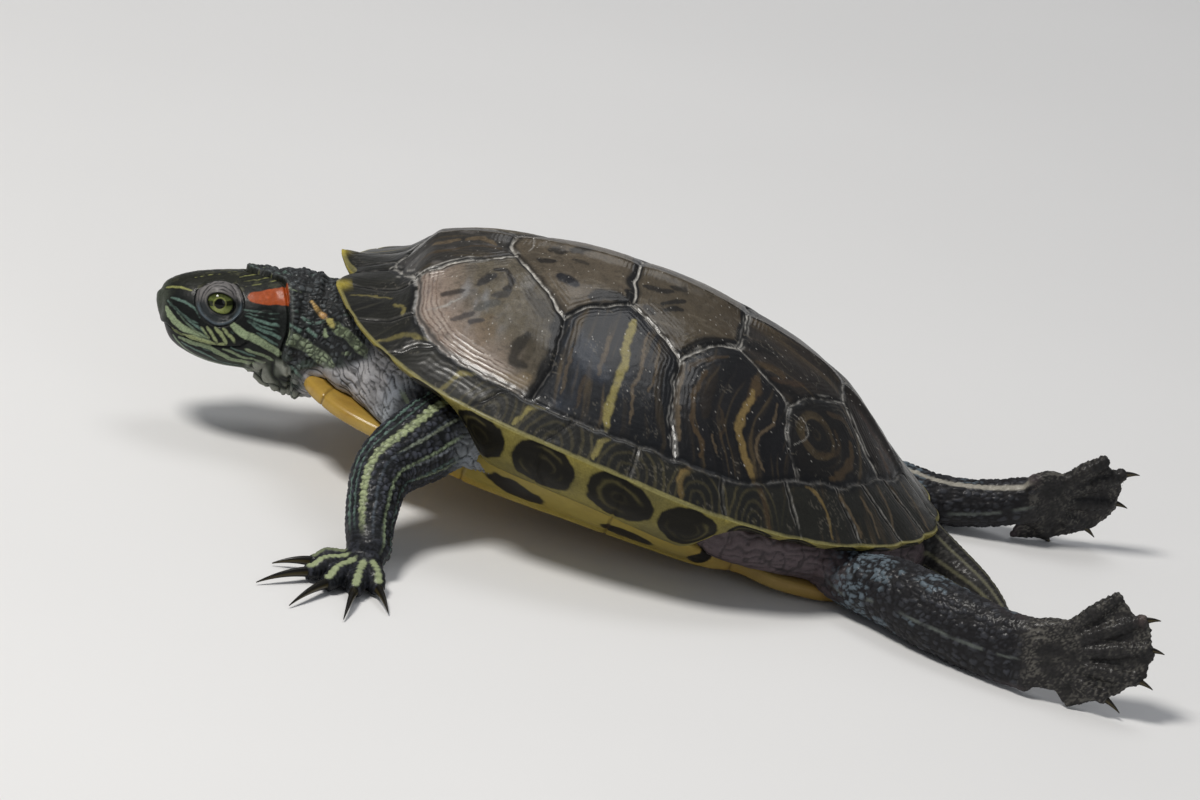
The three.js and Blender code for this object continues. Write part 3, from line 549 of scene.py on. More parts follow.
GROUNDS = {
    "v1": srgb(50, 48, 45), "v2": srgb(84, 75, 62), "v3": srgb(74, 66, 53), "v4": srgb(42, 38, 35),
    "v5": srgb(35, 31, 28), "p1": srgb(92, 85, 72), "p2": srgb(25, 27, 31), "p3": srgb(22, 22, 24),
    "p4": srgb(24, 23, 22),
}
# Dark ovals under the margin: centre along the shell and half length.
OVALS = [[-86, 4.5], [-73, 5.5], [-58, 6.5], [-39.5, 8.4], [-19, 10.3], [4.5, 10.8], [27, 9], [45, 7.5],
         [60, 6.5], [73, 6], [84, 5.5], [93, 5]]


def mark_colour(colour):
    """Dark marks are painted darker still."""
    colour = np.asarray(colour)
    return colour * mixed(MARK_DEPTH, PALE_MARK_DEPTH, smooth(0.04, 0.2, colour.mean()))


def make_carapace():
    count = 2 * int(272 / FINE)
    depth = int(84 / FINE)
    under_depth = int(34 / FINE)
    edge = outline(half_width, SHELL_FRONT, SHELL_REAR, count)
    middle = np.stack([mixed(-35, 42, (edge[:, 0] - SHELL_FRONT) / (SHELL_REAR - SHELL_FRONT)),
                       0 * edge[:, 0]], 1)
    span = np.linalg.norm(edge - middle, axis=1)
    share = np.linspace(0, 1, depth)
    flat = middle[None] + share[:, None, None] * (edge - middle)[None]
    top = np.concatenate([flat, dome_height(flat[..., 0], flat[..., 1])[..., None]], -1)

    # Underneath, the marginals turn in, and down beside the bridge.
    drop = mixed(RIM_THICKNESS, BRIDGE_DROP, bridged(edge[:, 0]))
    turn = np.linspace(0, 1, under_depth + 1)[1:]
    inset = hermite([[0, 0], [0.08, -0.35], [0.2, 0.2], [0.42, 2.6], [0.62, 7.5], [0.74, 11.6],
                     [0.8, 13.2], [0.9, 20], [1, 34]], turn)
    fall = hermite([[0, 0], [0.08, 0.1], [0.2, 0.28], [0.42, 0.62], [0.62, 0.93], [0.74, 1.0],
                    [0.8, 0.86], [0.9, 0.55], [1, 0.4]], turn)
    under_share = 1 - inset[:, None] / span[None] * np.minimum(1, span / 60)[None]
    under = middle[None] + under_share[..., None] * (edge - middle)[None]
    under_z = hermite(RIM, edge[:, 0])[None] - drop[None] * fall[:, None]
    under = np.concatenate([under, under_z[..., None]], -1)
    closing = np.concatenate([middle, under_z[-1][:, None] + 4], 1)[None]
    rings = np.concatenate([top, under, closing])
    level = np.concatenate([share, 1 + turn, [2.2]])
    normal = grid_normals(rings)
    if normal[depth // 2, 0, 2] < 0:
        normal = -normal
    normal[0], normal[-1] = [0, 0, 1], [0, 0, -1]

    # The margin is notched over the neck, flares at its front corners and is toothed behind.
    x, y = edge[:, 0], edge[:, 1]
    run = np.concatenate([[0], np.cumsum(np.linalg.norm(np.diff(edge, axis=0), axis=1))])
    run = np.minimum(run, run[-1] - run)
    seam_runs = []
    for rim_end, _ in MARGINAL_SEAMS:
        seam_runs.append(run[np.argmin(np.hypot(x - rim_end[0], np.abs(y) - rim_end[1]))])
    to_seam = np.min(np.abs(run[:, None] - np.array(seam_runs)[None]), axis=1)
    weight = np.where(level <= 1, level**14, np.maximum(2.05 - level, 0) ** 2)[:, None]
    front = x < -60
    push = front * (-3.4 * bell(y, 0, 4.5) + 3.6 * bell(y, 12.5, 4.0) + 1.8 * bell(y, -11.5, 4.5))
    push = push - mixed(0.3, 1.1, smooth(20, 80, x)) * bell(to_seam, 0, 3.2)
    rings[..., :2] += weight[..., None] * (push[:, None] * unit(edge - middle))[None]
    half = slice(0, count // 2)
    oval_run = np.interp([row[0] for row in OVALS], x[half], run[half])
    to_oval = np.min(np.abs(run[:, None] - oval_run[None]) / np.array([row[1] for row in OVALS]), axis=1)
    lift = front * (1.6 * bell(y, 12.5, 4) + 0.8 * bell(y, -11.5, 4.5)) + 1.2 * smooth(60, 95, x)
    rings[..., 2] += weight * lift[None]

    points, quads, kept = closed_sheet(rings)
    column = np.tile(np.arange(count), len(rings))[kept]
    place = dict(
        points=points, level=np.repeat(level, count)[kept], to_seam=to_seam[column],
        to_oval=to_oval[column], run=run[column],
        fall=np.repeat(np.concatenate([0 * share, fall, [1]]), count)[kept],
        edge_gap=(1 - np.minimum(np.repeat(level, count)[kept], 1)) * span[column],
        bridge=bridged(x)[column],
    )
    place["flat"] = np.stack([points[:, 0], np.abs(points[:, 1])], 1)
    warp = np.stack([noise(points, 5, 11, 2), noise(points, 5, 12, 2)], 1) * 0.7
    warp += np.stack([noise(points, 1.6, 13), noise(points, 1.6, 14)], 1) * 0.2
    place["warped"] = warped = place["flat"] + warp
    place["seams"] = {name: reach(warped, line, 14)[0] for name, line in SEAMS.items()}
    place["margin_seam"] = reach(warped, COSTAL_EDGE, 14)[0]
    place["between"] = np.min([reach(warped, line, 14)[0] for line in MARGINAL_SEAMS], axis=0)
    place["scutes"] = {name: inside(shape, warped) for name, shape in SCUTES.items()}
    inner = np.min([*place["seams"].values(), place["margin_seam"]], axis=0)
    place["scutes"]["m"] = ~np.any(list(place["scutes"].values()), axis=0)
    place["seam"] = seam = np.minimum(inner, np.where(place["scutes"]["m"], place["between"], 99))

    # Growth rings, grooves at the seams, and the keel.
    margin, front_p1 = place["scutes"]["m"], smooth(-34, -62, place["flat"][:, 0])
    ridge = (0.3 + 1.3 * place["scutes"]["p1"] * front_p1) * smooth(10, 2, seam) * smooth(0.6, 1.6, seam)
    relief = -0.4 * bell(seam, 0, 0.45) - 0.8 * np.exp(-seam / 3.2) * (1 - 0.5 * margin)
    relief += ridge * 0.12 * np.sin(seam * 2 * np.pi / 1.3 + 1.2 * noise(points, 9, 23))
    relief += 0.3 * noise(points, 22, 21, 2) + 0.07 * noise(points, 4, 27, 2) + 0.035 * noise(points, 1.4, 22, 2)
    relief += 0.7 * bell(place["flat"][:, 1], 0, 2.6) * smooth(-95, -60, place["flat"][:, 0]) * ~margin
    below = place["level"] > 1.02
    relief = np.where(
        below, -0.3 * bell(place["to_seam"], 0, 0.45) + 0.12 * noise(points, 5, 24, 2), relief
    )
    relief *= mixed(0.3, 1, np.minimum(smooth(0, 3, place["edge_gap"]) + below, 1))
    moved = points + normal.reshape(-1, 3)[kept] * relief[:, None]
    mesh = mesh_of("carapace_shell", pitched(moved), quads)
    paint(mesh, *carapace_colours(place, inner))
    return mesh


def carapace_colours(place, inner):
    points, flat, warped, seam = (place[k] for k in ("points", "flat", "warped", "seam"))
    scute, seams, level = place["scutes"], place["seams"], place["level"]
    margin, above = scute["m"], (place["level"] <= 1.0)
    x, across = flat[:, 0], flat[:, 1]
    tone = np.tile(srgb(33, 33, 29), (len(points), 1))
    fleck = noise(points, 1.0, 31, 2)
    cloud = noise(points, 11, 32, 3)
    grain = noise(points * [0.35, 1, 1], 1.6, 35, 2)
    for name, where in scute.items():
        if name != "m":
            lay(tone, where * 1.0, GROUNDS[name])
    p1 = scute["p1"]
    ridge = place["margin_seam"]
    lay(tone, p1 * smooth(-46, -66, x + 0.35 * (34 - across)) * 0.6, PINK * 0.8)
    lay(tone, p1 * smooth(16, 4, ridge) * smooth(-26, -44, x) * 0.5, PINK * 0.85)
    lay(tone, p1 * smooth(-44, -30, x) * 0.6, srgb(52, 46, 34))
    # Painted sheen: a pale blue grey highlight over the middle of the first costal.
    sheen = noise(points * [1.4, 0.5, 0.5], 5, 49, 3)
    lay(tone, p1 * smooth(-0.1, 0.7, sheen) * bell(np.hypot(x + 50, across - 28), 0, 14) * 0.7,
        srgb(140, 144, 150))
    lay(tone, scute["v3"] * smooth(8, 24, x) * 0.4, srgb(52, 43, 34))
    lay(tone, smooth(0.0, 0.8, cloud) * 0.35 * above, DARK)
    # Painted highlights: pale streaks over the first vertebral stand for the sheen of the wet shell.
    lay(tone, scute["v1"] * smooth(0.1, 0.8, noise(points * [0.4, 1, 1], 3, 103, 3)) * 0.6, srgb(104, 100, 98))
    pale_scutes = scute["v2"] | scute["v3"] | p1
    lay(tone, pale_scutes * smooth(0.1, 0.75, noise(points, 3.4, 51, 3)) * 0.42, srgb(46, 41, 34))
    lay(tone, pale_scutes * smooth(0.1, 0.8, grain) * 0.22, srgb(132, 124, 110))

    # Fine lines that follow the stripes of the side scutes, rings on the last of them.
    bend = hermite([[28, 2.4], [39, 0], [46, 0.4], [52.5, 4.4], [60, 9]], across)
    flow = x - bend * mixed(0.25, 1.0, smooth(-20, 34, x)) + 0.5 * noise(points, 6, 52, 2)
    loop = np.hypot(x - 55, (across - 29) / 1.15) + 0.6 * noise(points, 5, 53, 2)
    for name, lines in (("p2", flow), ("p3", flow), ("p4", loop), ("v4", across), ("v1", across)):
        run = np.stack([lines, 0.07 * (across if name in ("p2", "p3") else x), 0 * x], 1)
        fibre = noise(run, 1.2, 54, 2)
        broad = noise(run, 3.6, 55, 2)
        lay(tone, scute[name] * smooth(0.0, 0.55, fibre) * smooth(-0.5, 0.5, broad) * 0.55, srgb(88, 75, 53))
        lay(tone, scute[name] * smooth(0.1, 0.6, -broad) * 0.6, srgb(12, 13, 15))
    lay(tone, scute["p2"] * smooth(-4, 2, x) * 0.5, srgb(12, 13, 15))
    # Painted sheen: blue grey bands over the front of the second costal.
    lay(tone, scute["p2"] * smooth(-13, -20, x) * smooth(-0.2, 0.6, sheen) * 0.35, SHEEN_BLUE)
    wander = flat + np.stack([noise(points, 7, 37, 2), noise(points, 7, 38, 2)], 1) * 0.9
    wander += np.stack([noise(points, 1.3, 56), noise(points, 1.3, 57)], 1) * 0.4
    wander += np.stack([noise(points, 3, 104), 0 * x], 1) * 0.45
    for name, line, wide, colour, strength in MARKS:
        where = scute[name] & above
        part = tone[where]
        stroke(part, wander[where], line, wide * MARK_GROWTH, mark_colour(colour), strength, 0.4, 0.35)
        tone[where] = part

    # Rings on the back of each marginal, centred over the ovals beneath; lines at the rear.
    ring_at = np.hypot(place["to_oval"], (place["edge_gap"] - 1.5) / 9.5) + 0.07 * noise(points, 4, 39, 2)
    wave = np.sin(ring_at * 2 * np.pi / 0.27 + 1.2)
    rings = smooth(0.2, 0.9, wave) * smooth(1.3, 1.1, ring_at) * smooth(58, 40, x) * smooth(-64, -44, x)
    lay(tone, margin * above * rings * 0.5, srgb(84, 78, 54))
    lay(tone, margin * above * smooth(0.95, 0.7, ring_at) * smooth(60, 40, x) * 0.4, BLACK)
    run = np.stack([place["run"], 0.1 * place["edge_gap"], 0 * x], 1)
    streaks = noise(run, 1.5, 58, 3)
    lay(tone, margin * above * smooth(36, 60, x) * smooth(0.15, 0.7, streaks) * 0.45, srgb(84, 70, 50))
    lay(tone, margin * above * smooth(-50, -70, x) * smooth(0.2, 0.8, streaks) * 0.4, srgb(78, 76, 66))

    # Pale ridges and dark lines beside the lower front edge of the first costal.
    lower = p1 * smooth(6.6, 5.4, ridge) * smooth(-26, -44, x)
    rows = np.sin(ridge * 2 * np.pi / 1.15 + 0.6 * cloud)
    lay(tone, lower * (0.5 + 0.4 * rows) * smooth(-0.6, 0.3, noise(points, 4, 59, 2)) * 0.7,
        mixed(PINK, PALE, 0.3))
    lay(tone, lower * smooth(0.6, 0.95, np.sin(ridge * 2 * np.pi / 1.15 + 3.3)) * 0.6, srgb(70, 48, 38))
    lay(tone, p1 * smooth(1.5, 0.8, ridge) * smooth(-28, -40, x) * 0.6, mixed(PINK, PALE, 0.5))

    # Black bands, dark grooves and flaking pale lines at the seams.
    uneven = 1 + 0.35 * noise(points, 5, 40, 2)
    for name, beside, wide in BLACK_BANDS:
        away = seams[beside] / uneven
        lay(tone, scute[name] * smooth(wide * 1.3, wide * 0.8, away) * 0.92, BLACK)
    lay(tone, smooth(2.4, 0.8, inner) * 0.5 * above, BLACK)
    flake = smooth(-0.55, 0.25, noise(points, 2.6, 34, 2)) * (0.75 + 0.4 * fleck)
    for name, (strength, wide, side_line) in SEAM_LOOKS.items():
        away = seams[name]
        lay(tone, smooth(wide * 1.3, wide * 0.5, away) * strength * flake * above * 0.9, PALE)
        if side_line:
            line = bell(away, side_line, 0.24) * smooth(-0.2, 0.4, noise(points, 3.4, 41, 2))
            lay(tone, line * strength * 0.6 * above, PALE)
        lay(tone, bell(away, wide * 2.1, 0.25) * 0.5 * above, BLACK)
    front_edge = smooth(-30, -44, x)
    lay(tone, smooth(0.5, 0.2, ridge) * above * mixed(0.2, 0.75, front_edge) * flake,
        mixed(srgb(120, 122, 128), PALE, 0.5))
    lay(tone, bell(ridge, 0.9, 0.35) * above * 0.7, BLACK)
    thin = np.where(margin, place["between"], 99)
    lay(tone, smooth(0.5, 0.2, thin) * above * 0.7, BLACK)
    lay(tone, bell(thin, 0.7, 0.2) * above * mixed(0.12, 0.4, smooth(30, 60, x)) * flake, PALE)
    scratch = np.abs(noise(points * [0.25, 1, 1] + 0.3 * warped[:, :1], 1.5, 105, 2))
    lay(tone, above * smooth(0.06, 0.01, scratch) * smooth(0, 0.5, noise(points, 5, 106)) * 0.3, srgb(124, 118, 106))
    lay(tone, above * smooth(0.15, 0.6, noise(points, 1.0, 107, 2)) * 0.28, srgb(10, 10, 10))
    specks, _, name = scales(points, 1.1, 42)
    lay(tone, (smooth(0.2, 0.1, specks) * (name > 0.84)) * above * 0.6 * ~margin, PALE)

    # The undersides of the marginals: dark ringed ovals with olive yellow between; the rim's thin line.
    below = smooth(1.0, 1.03, level)
    drop = place["fall"]
    lay(tone, below, srgb(128, 118, 60))
    lay(tone, below * smooth(-0.6, 0.6, cloud), srgb(98, 92, 56))
    lay(tone, below * smooth(0.0, 0.8, noise(points, 2.4, 61, 3)) * 0.35, srgb(70, 64, 36))
    oval = np.hypot(place["to_oval"], (drop - 0.43) / 0.43)
    oval = oval + 0.2 * noise(points, 7, 43, 2) + 0.05 * noise(points, 2, 62, 2)
    lay(tone, below * smooth(1.04, 0.96, oval) * 0.98, srgb(14, 13, 12))
    lay(tone, below * bell(oval, 0.66, 0.06) * smooth(-0.5, 0.2, noise(points, 6, 63)) * 0.65, srgb(84, 78, 48))
    lay(tone, below * bell(oval, 0.36, 0.05) * smooth(-0.4, 0.3, noise(points, 6, 64)) * 0.5, srgb(70, 65, 44))
    lay(tone, below * bell(drop, 0.97, 0.03) * 0.6, srgb(40, 36, 26))
    uneven_line = 0.6 + 0.25 * noise(points, 3, 60)
    rim_line = smooth(0.95, 0.45, place["edge_gap"] / uneven_line) * (level < 1.03)
    lay(tone, rim_line * 0.7, srgb(142, 136, 88))
    tips = bell(x, -95, 2.4) * bell(points[:, 1], 12.5, 2.6)
    tips = np.maximum(tips, bell(x, -91, 2.4) * bell(points[:, 1], -13, 2.4) * 0.8)
    lay(tone, tips * (place["edge_gap"] < 3.2) * 0.9, srgb(176, 160, 66))
    tone *= (1 + 0.16 * fleck)[:, None]
    rough = 0.34 + 0.09 * cloud + 0.12 * smooth(1.2, 0.3, seam)
    return np.clip(tone, 0, 1), rough, 0.4 * smooth(1.02, 0.97, level)


# ---------------------------------------------------------------- plastron
PLASTRON_EDGE = [[-94.6, 0], [-94, 8], [-91, 20], [-80, 32], [-66, 38.5], [-50, 43], [-40, 46],
                 [-20, 48], [18, 49], [36, 49], [46, 45], [58, 47.5], [72, 44.5], [84, 34],
                 [91.5, 19], [90.6, 9], [88, 0]]


def make_plastron():
    count = 2 * int(270 / (FINE * 1.3))
    shape = curve(PLASTRON_EDGE, 3000)
    run = np.concatenate([[0], np.cumsum(np.linalg.norm(np.diff(shape, axis=0), axis=1))])
    even = np.linspace(0, run[-1], count // 2 + 1)
    half = np.stack([np.interp(even, run, shape[:, 0]), np.interp(even, run, shape[:, 1])], 1)
    half[0, 1] = half[-1, 1] = 0
    edge = np.concatenate([half * [1, -1], half[-2:0:-1]])
    middle = np.stack([-45 + (edge[:, 0] + 94.6) / 186 * 95, 0 * edge[:, 0]], 1)
    span = np.linalg.norm(edge - middle, axis=1)
    wall = bridged(edge[:, 0] + np.where(edge[:, 0] > 0, 2, -2))
    x = edge[:, 0]
    seam_out = half_width(x) - MARGINAL_INSET + 0.6 - np.abs(edge[:, 1])
    seam_up = hermite(RIM, x) - BRIDGE_DROP + 0.6
    # Down the middle to the edge, round it, up the bridge's wall where there is one, and back.
    under = np.linspace(0, 1, int(48 / (FINE * 1.5)))
    profile = [[0, -1.2, 0, 0, 0], [0.12, -0.35, 0.55, 0.02, 0.06], [0.22, 0, 1.6, 0.12, 0.16],
               [0.34, 0, 2.8, 0.34, 0.3], [0.6, -0.4, 3.7, 0.8, 0.72], [0.72, -1.4, 4.3, 1, 1.0],
               [0.8, -4, 4.6, 0.86, 1.1], [0.9, -14, 4.6, 0.4, 1.0], [1, -24, 4.6, 0.1, 0.8]]
    turn = np.linspace(0, 1, int(40 / FINE))[1:]
    out_flat, up_flat = hermite(profile, turn, 1), hermite(profile, turn, 2)
    out_wall, up_wall = hermite(profile, turn, 3), hermite(profile, turn, 4)
    flat = middle[None] + under[:, None, None] * (edge - middle)[None] * (1 - 1.2 / span)[None, :, None]
    low = np.concatenate([flat, np.zeros(flat.shape[:2] + (1,))], -1)
    outwards = unit(edge - middle)
    out = mixed(out_flat[:, None], out_wall[:, None] * seam_out[None], wall[None])
    up = mixed(up_flat[:, None], up_wall[:, None] * seam_up[None], wall[None])
    direction = mixed(outwards, np.stack([0 * x, np.sign(edge[:, 1])], 1), (wall * 0.85)[:, None])
    high = np.concatenate([edge[None] + out[..., None] * unit(direction)[None], up[..., None]], -1)
    closing = np.concatenate([middle[None], (up[-1] + 0 * x)[None, :, None]], -1)
    rings = np.concatenate([low, high, closing])
    points, quads, kept = closed_sheet(rings)
    normal = -grid_normals(rings).reshape(-1, 3)[kept]
    level = np.repeat(np.concatenate([under, 1 + turn, [2.2]]), count)[kept]
    flat = points[:, :2].copy()
    seams = [[[-94, 0], [0, 0.4], [50, -0.5], [88, 0]]]
    for line in ([[-77, 0], [-86, 28]], [[-58, 0], [-62, 20], [-66, 42]], [[-30, 0], [-36, 25], [-42, 62]],
                 [[8, 0], [6, 25], [5, 70]], [[46, 0], [46, 20], [42, 60]], [[66, 0], [74, 20], [82, 40]]):
        seams += [line, [[p[0], -p[1]] for p in line]]
    near = np.full(len(points), 1e6)
    warped = flat + np.stack([noise(points, 7, 41), noise(points, 7, 42)], 1) * 0.5
    for line in seams:
        near = np.minimum(near, reach(warped, line, 20)[0])
    relief = -0.32 * bell(near, 0, 0.4) + 0.1 * noise(points, 8, 43, 2)
    moved = pitched(points + normal * relief[:, None])
    moved[:, 2] = np.maximum(moved[:, 2], 0)
    tone = np.tile(srgb(170, 138, 62), (len(points), 1))
    fleck = noise(points, 1.6, 44, 3)
    cloud = noise(points, 14, 45, 2)
    lay(tone, smooth(-0.2, 0.9, cloud) * 0.6, srgb(192, 170, 104))
    lay(tone, smooth(0.0, 0.9, noise(points * [0.3, 1, 1], 2.6, 47, 2)) * 0.4, srgb(140, 100, 46))
    lay(tone, bridged(flat[:, 0]) * smooth(44, 49, np.abs(flat[:, 1])) * 0.7, srgb(132, 124, 62))
    lay(tone, smooth(0, 70, flat[:, 0]) * 0.6, srgb(116, 94, 56))
    side_y = np.abs(flat[:, 1])
    blot = noise(points, 4, 46, 2) * 2.2
    for cx, cy, rx, ry in ((-66, 20, 8, 7), (-44, 24, 9, 8), (-12, 24, 11, 8), (26, 24, 10, 8),
                           (56, 22, 8, 8), (78, 20, 6, 6), (-84, 11, 4.5, 5)):
        ring = np.hypot((flat[:, 0] - cx) / rx, (side_y - cy) / ry) * 8 + blot
        lay(tone, smooth(8.6, 7.4, ring) * (level < 1.15), srgb(44, 38, 26))
        lay(tone, smooth(5.2, 3.8, ring) * (level < 1.15) * 0.5, srgb(120, 98, 50))
    for cx, cy, rx, ry in ((-24, 53, 9, 3.2), (12, 54, 8, 3.4), (34, 52, 4, 2.6)):
        ring = np.hypot((flat[:, 0] - cx) / rx, (side_y - cy) / ry) * 8 + blot
        lay(tone, smooth(8.8, 7.6, ring), srgb(26, 23, 19))
    lay(tone, smooth(0.5, 0.15, near) * 0.6, srgb(60, 42, 20))
    tone *= (1 + 0.1 * fleck)[:, None]
    mesh = mesh_of("plastron_plate", moved, quads)
    paint(mesh, tone, 0.34 + 0.08 * cloud, 0.35 * smooth(-40, -60, flat[:, 0]))
    return mesh


# ---------------------------------------------------------------- flesh forms
def framed(stations, count, face):
    """Centres, sizes and directions along a limb: [x, y, z, half width, half depth] rows."""
    s = np.asarray(stations, float)
    line = curve(s[:, :3], count)
    place = np.linspace(0, 1, count)
    rows = np.column_stack([np.linspace(0, 1, len(s)), s[:, 3:]])
    tangent = unit(np.gradient(line, axis=0))
    across = unit(np.cross(tangent, face))
    deep = unit(np.cross(across, tangent))
    return line, hermite(rows, place, 1), hermite(rows, place, 2), tangent, across, deep


def limb(stations, face=(0, 0, 1), power=2.0, count=48, sides=36):
    line, wide, thick, _, across, deep = framed(stations, count, np.array(face, float))
    turn = np.linspace(0, 2 * np.pi, sides, endpoint=False)
    c, s = np.cos(turn), np.sin(turn)
    c = np.sign(c) * np.abs(c) ** (2 / power)
    s = np.sign(s) * np.abs(s) ** (2 / power)
    rings = (
        line[:, None]
        + (wide[:, None] * c)[..., None] * across[:, None]
        + (thick[:, None] * s)[..., None] * deep[:, None]
    )
    return ringed(rings)


def ball(centre, radii, axes=np.eye(3), rows=24, sides=32):
    lift = np.linspace(-np.pi / 2, np.pi / 2, rows + 2)[1:-1]
    turn = np.linspace(0, 2 * np.pi, sides, endpoint=False)
    local = np.stack([
        np.cos(lift)[:, None] * np.cos(turn) * radii[0],
        np.cos(lift)[:, None] * np.sin(turn) * radii[1],
        np.sin(lift)[:, None] * np.ones(sides) * radii[2],
    ], -1)
    return ringed(np.asarray(centre) + local @ np.asarray(axes), closed_ends=False)


# Head: its own frame is [forward, side, up], side positive towards the animal's left.
HEAD_AT = np.array([-117.9, -3, 35.9])
_forward = unit(np.array([-0.9748, -0.1654, -0.1499]))
_side = unit(np.cross([-0.196, 0.1914, 0.9617], _forward))
HEAD_AXES = np.array([_forward, _side, np.cross(_forward, _side)])
HEAD_SECTIONS = [[19, 3.4, 7.8, 0.2], [18.2, 5.4, 9.6, -3], [16, 7.9, 11.3, -7],
                 [11.5, 10.8, 12.9, -10.4], [6, 12.7, 13.7, -13], [0, 13.9, 13.9, -14.5],
                 [-8, 15.2, 14, -15.5], [-15, 15, 14.2, -16], [-24, 14.2, 14, -16.2]]
EYE_AT = np.array([2.1, 8.3, 5.7])
EYE_RADIUS = 5.2
LID_OPENING = (4.0, 3.1)
LID_SHIFT = (0.5, -0.05)


def from_head(q):
    return HEAD_AT + q @ HEAD_AXES


def to_head(p):
    return (p - HEAD_AT) @ HEAD_AXES.T


def head_form():
    place = np.concatenate([19 - 3 * (1 - np.cos(np.linspace(0, np.pi / 2, 16))), np.linspace(15.6, -24, 60)])
    half, top, low = (hermite(HEAD_SECTIONS, place, n) for n in (1, 2, 3))
    middle = low + (top - low) * 0.42
    turn = np.linspace(0, 2 * np.pi, 64, endpoint=False)
    c, s = np.cos(turn), np.sin(turn)
    c = np.sign(c) * np.abs(c) ** 0.85
    s = np.sign(s) * np.abs(s) ** 0.85
    up = middle[:, None] + np.where(s > 0, s * (top - middle)[:, None], s * (middle - low)[:, None])
    side = half[:, None] * (1 - 0.2 * np.maximum(s, 0) ** 2) * c
    rings = np.stack([np.repeat(place[:, None], 64, 1), side, up], -1)
    return ringed(from_head(rings))


NECK = [[-106, -0.8, 37.7, 13.5, 15.7], [-100, -0.4, 36.2, 15.8, 18.2], [-93, -0.2, 34.5, 17.2, 19],
        [-84, 0, 35.5, 18.6, 16.5], [-70, 0, 37, 20, 13]]
TAIL = [[80, 0, 17, 11, 8], [94, -0.5, 12.5, 9, 7], [106, -4, 7.2, 6.6, 5.6], [117, -12, 4, 4.6, 4],
        [124, -23, 2.4, 3.1, 2.9], [128, -34, 1.5, 1.7, 1.7]]
ARM = [[-42, 41, 33, 12, 11.5], [-50.5, 53, 29.5, 11, 12], [-60, 67, 23.5, 8.8, 9.8],
       [-61, 80, 14.5, 7.3, 8], [-59, 92, 7, 6.4, 6]]
LEFT_LEG = [[64, -30, 17, 12, 10], [79.3, -42, 9.8, 10, 8.4], [91.4, -50, 11.4, 9.8, 10.2],
            [104, -60, 11.5, 8.8, 11], [116.5, -68, 11, 7, 10.8], [127, -74, 11.2, 5.4, 10.8],
            [135, -78.5, 12, 3.6, 11]]
RIGHT_LEG = [[64, 30, 17, 12, 10], [79, 40, 10, 10, 8.6], [91, 40, 8.4, 9.6, 8.2],
             [102, 39, 7.8, 8.4, 7.6], [116, 38, 10, 6.4, 7.2], [130, 37.5, 14.5, 4.4, 7]]
TRUNK = [[-80, 25], [-66, 42], [-48, 52], [-30, 55], [30, 55], [50, 54], [66, 47], [80, 35], [90, 19]]


def trunk_form():
    place = np.linspace(-82, 92, 60)
    half, top = hermite(TRUNK, place), hermite(RIM, place) - 1
    turn = np.linspace(0, 2 * np.pi, 64, endpoint=False)
    c, s = np.cos(turn), np.sin(turn)
    c = np.sign(c) * np.sqrt(np.abs(c))
    s = np.sign(s) * np.sqrt(np.abs(s))
    z = (top + 2.6)[:, None] / 2 + (top - 2.6)[:, None] / 2 * s
    rings = np.stack([np.repeat(place[:, None], 64, 1), half[:, None] * c, z], -1)
    return ringed(pitched(rings))


FORE = dict(spread=[-46, -21, 4, 29, 54], lengths=[14, 18, 19.5, 18.5, 15], wrist=6.2, palm=8.4,
            palm_reach=0.5, thickness=4.6, toe=2.7, web_reach=0.8, scallop=0.13, web=1.6, claw=1.7, rise=0.12,
            droop=5, tip=0.9, claws=[14, 19, 20, 19, 13], toe_height=3)
HIND = dict(wrist=9.2, palm=9.5, palm_reach=0.42, thickness=3.4, toe=2.3, web_reach=1.02, scallop=0.05, web=1.5,
            claw=1.3, rise=-1, droop=1.8, tip=0.5, claws=[7, 6.5, 6.5, 7])


def fan(ankle, ahead, aside, angles, lengths):
    turn = np.radians(angles)[:, None]
    reach_out = np.array(lengths, float)[:, None]
    return ankle + (np.cos(turn) * unit(np.array(ahead, float)) + np.sin(turn) * unit(np.array(aside, float))) * reach_out


def fore_foot(side):
    ankle = np.array([-59.5, 93 * side, 4.8])
    ahead, aside = [-0.4, 0.917 * side, 0], [-0.917, -0.4 * side, 0]
    toes = fan(ankle, ahead, aside, FORE["spread"], FORE["lengths"])
    toes[:, 2] = FORE["toe_height"]
    return dict(FORE, ankle=ankle, toes=toes, heel=np.zeros((0, 3)), face=np.array([0, 0, 1.0]))


def hind_foot(ankle, ahead, aside, spread, lengths, heel_angle, heel_length):
    ankle = np.array(ankle, float)
    return dict(HIND, ankle=ankle, toes=fan(ankle, ahead, aside, spread, lengths),
                heel=fan(ankle, ahead, aside, [heel_angle], [heel_length]),
                face=unit(np.cross(ahead, aside)))


FEET = {
    "fore_left": fore_foot(-1),
    "fore_right": fore_foot(1),
    "hind_left": hind_foot([134, -78, 12], [1, -0.18, 0], [0, 0.25, 1], [-15, 2, 17.5, 31, 46],
                           [24.5, 32, 35, 35.5, 31.5], -41, 18),
    "hind_right": hind_foot([130, 37.5, 14.5], [1, 0.3, 0], [0, -0.25, 1], [-62, -24, 4, 25, 40],
                            [14, 19, 25, 29, 26], -108, 15),
}


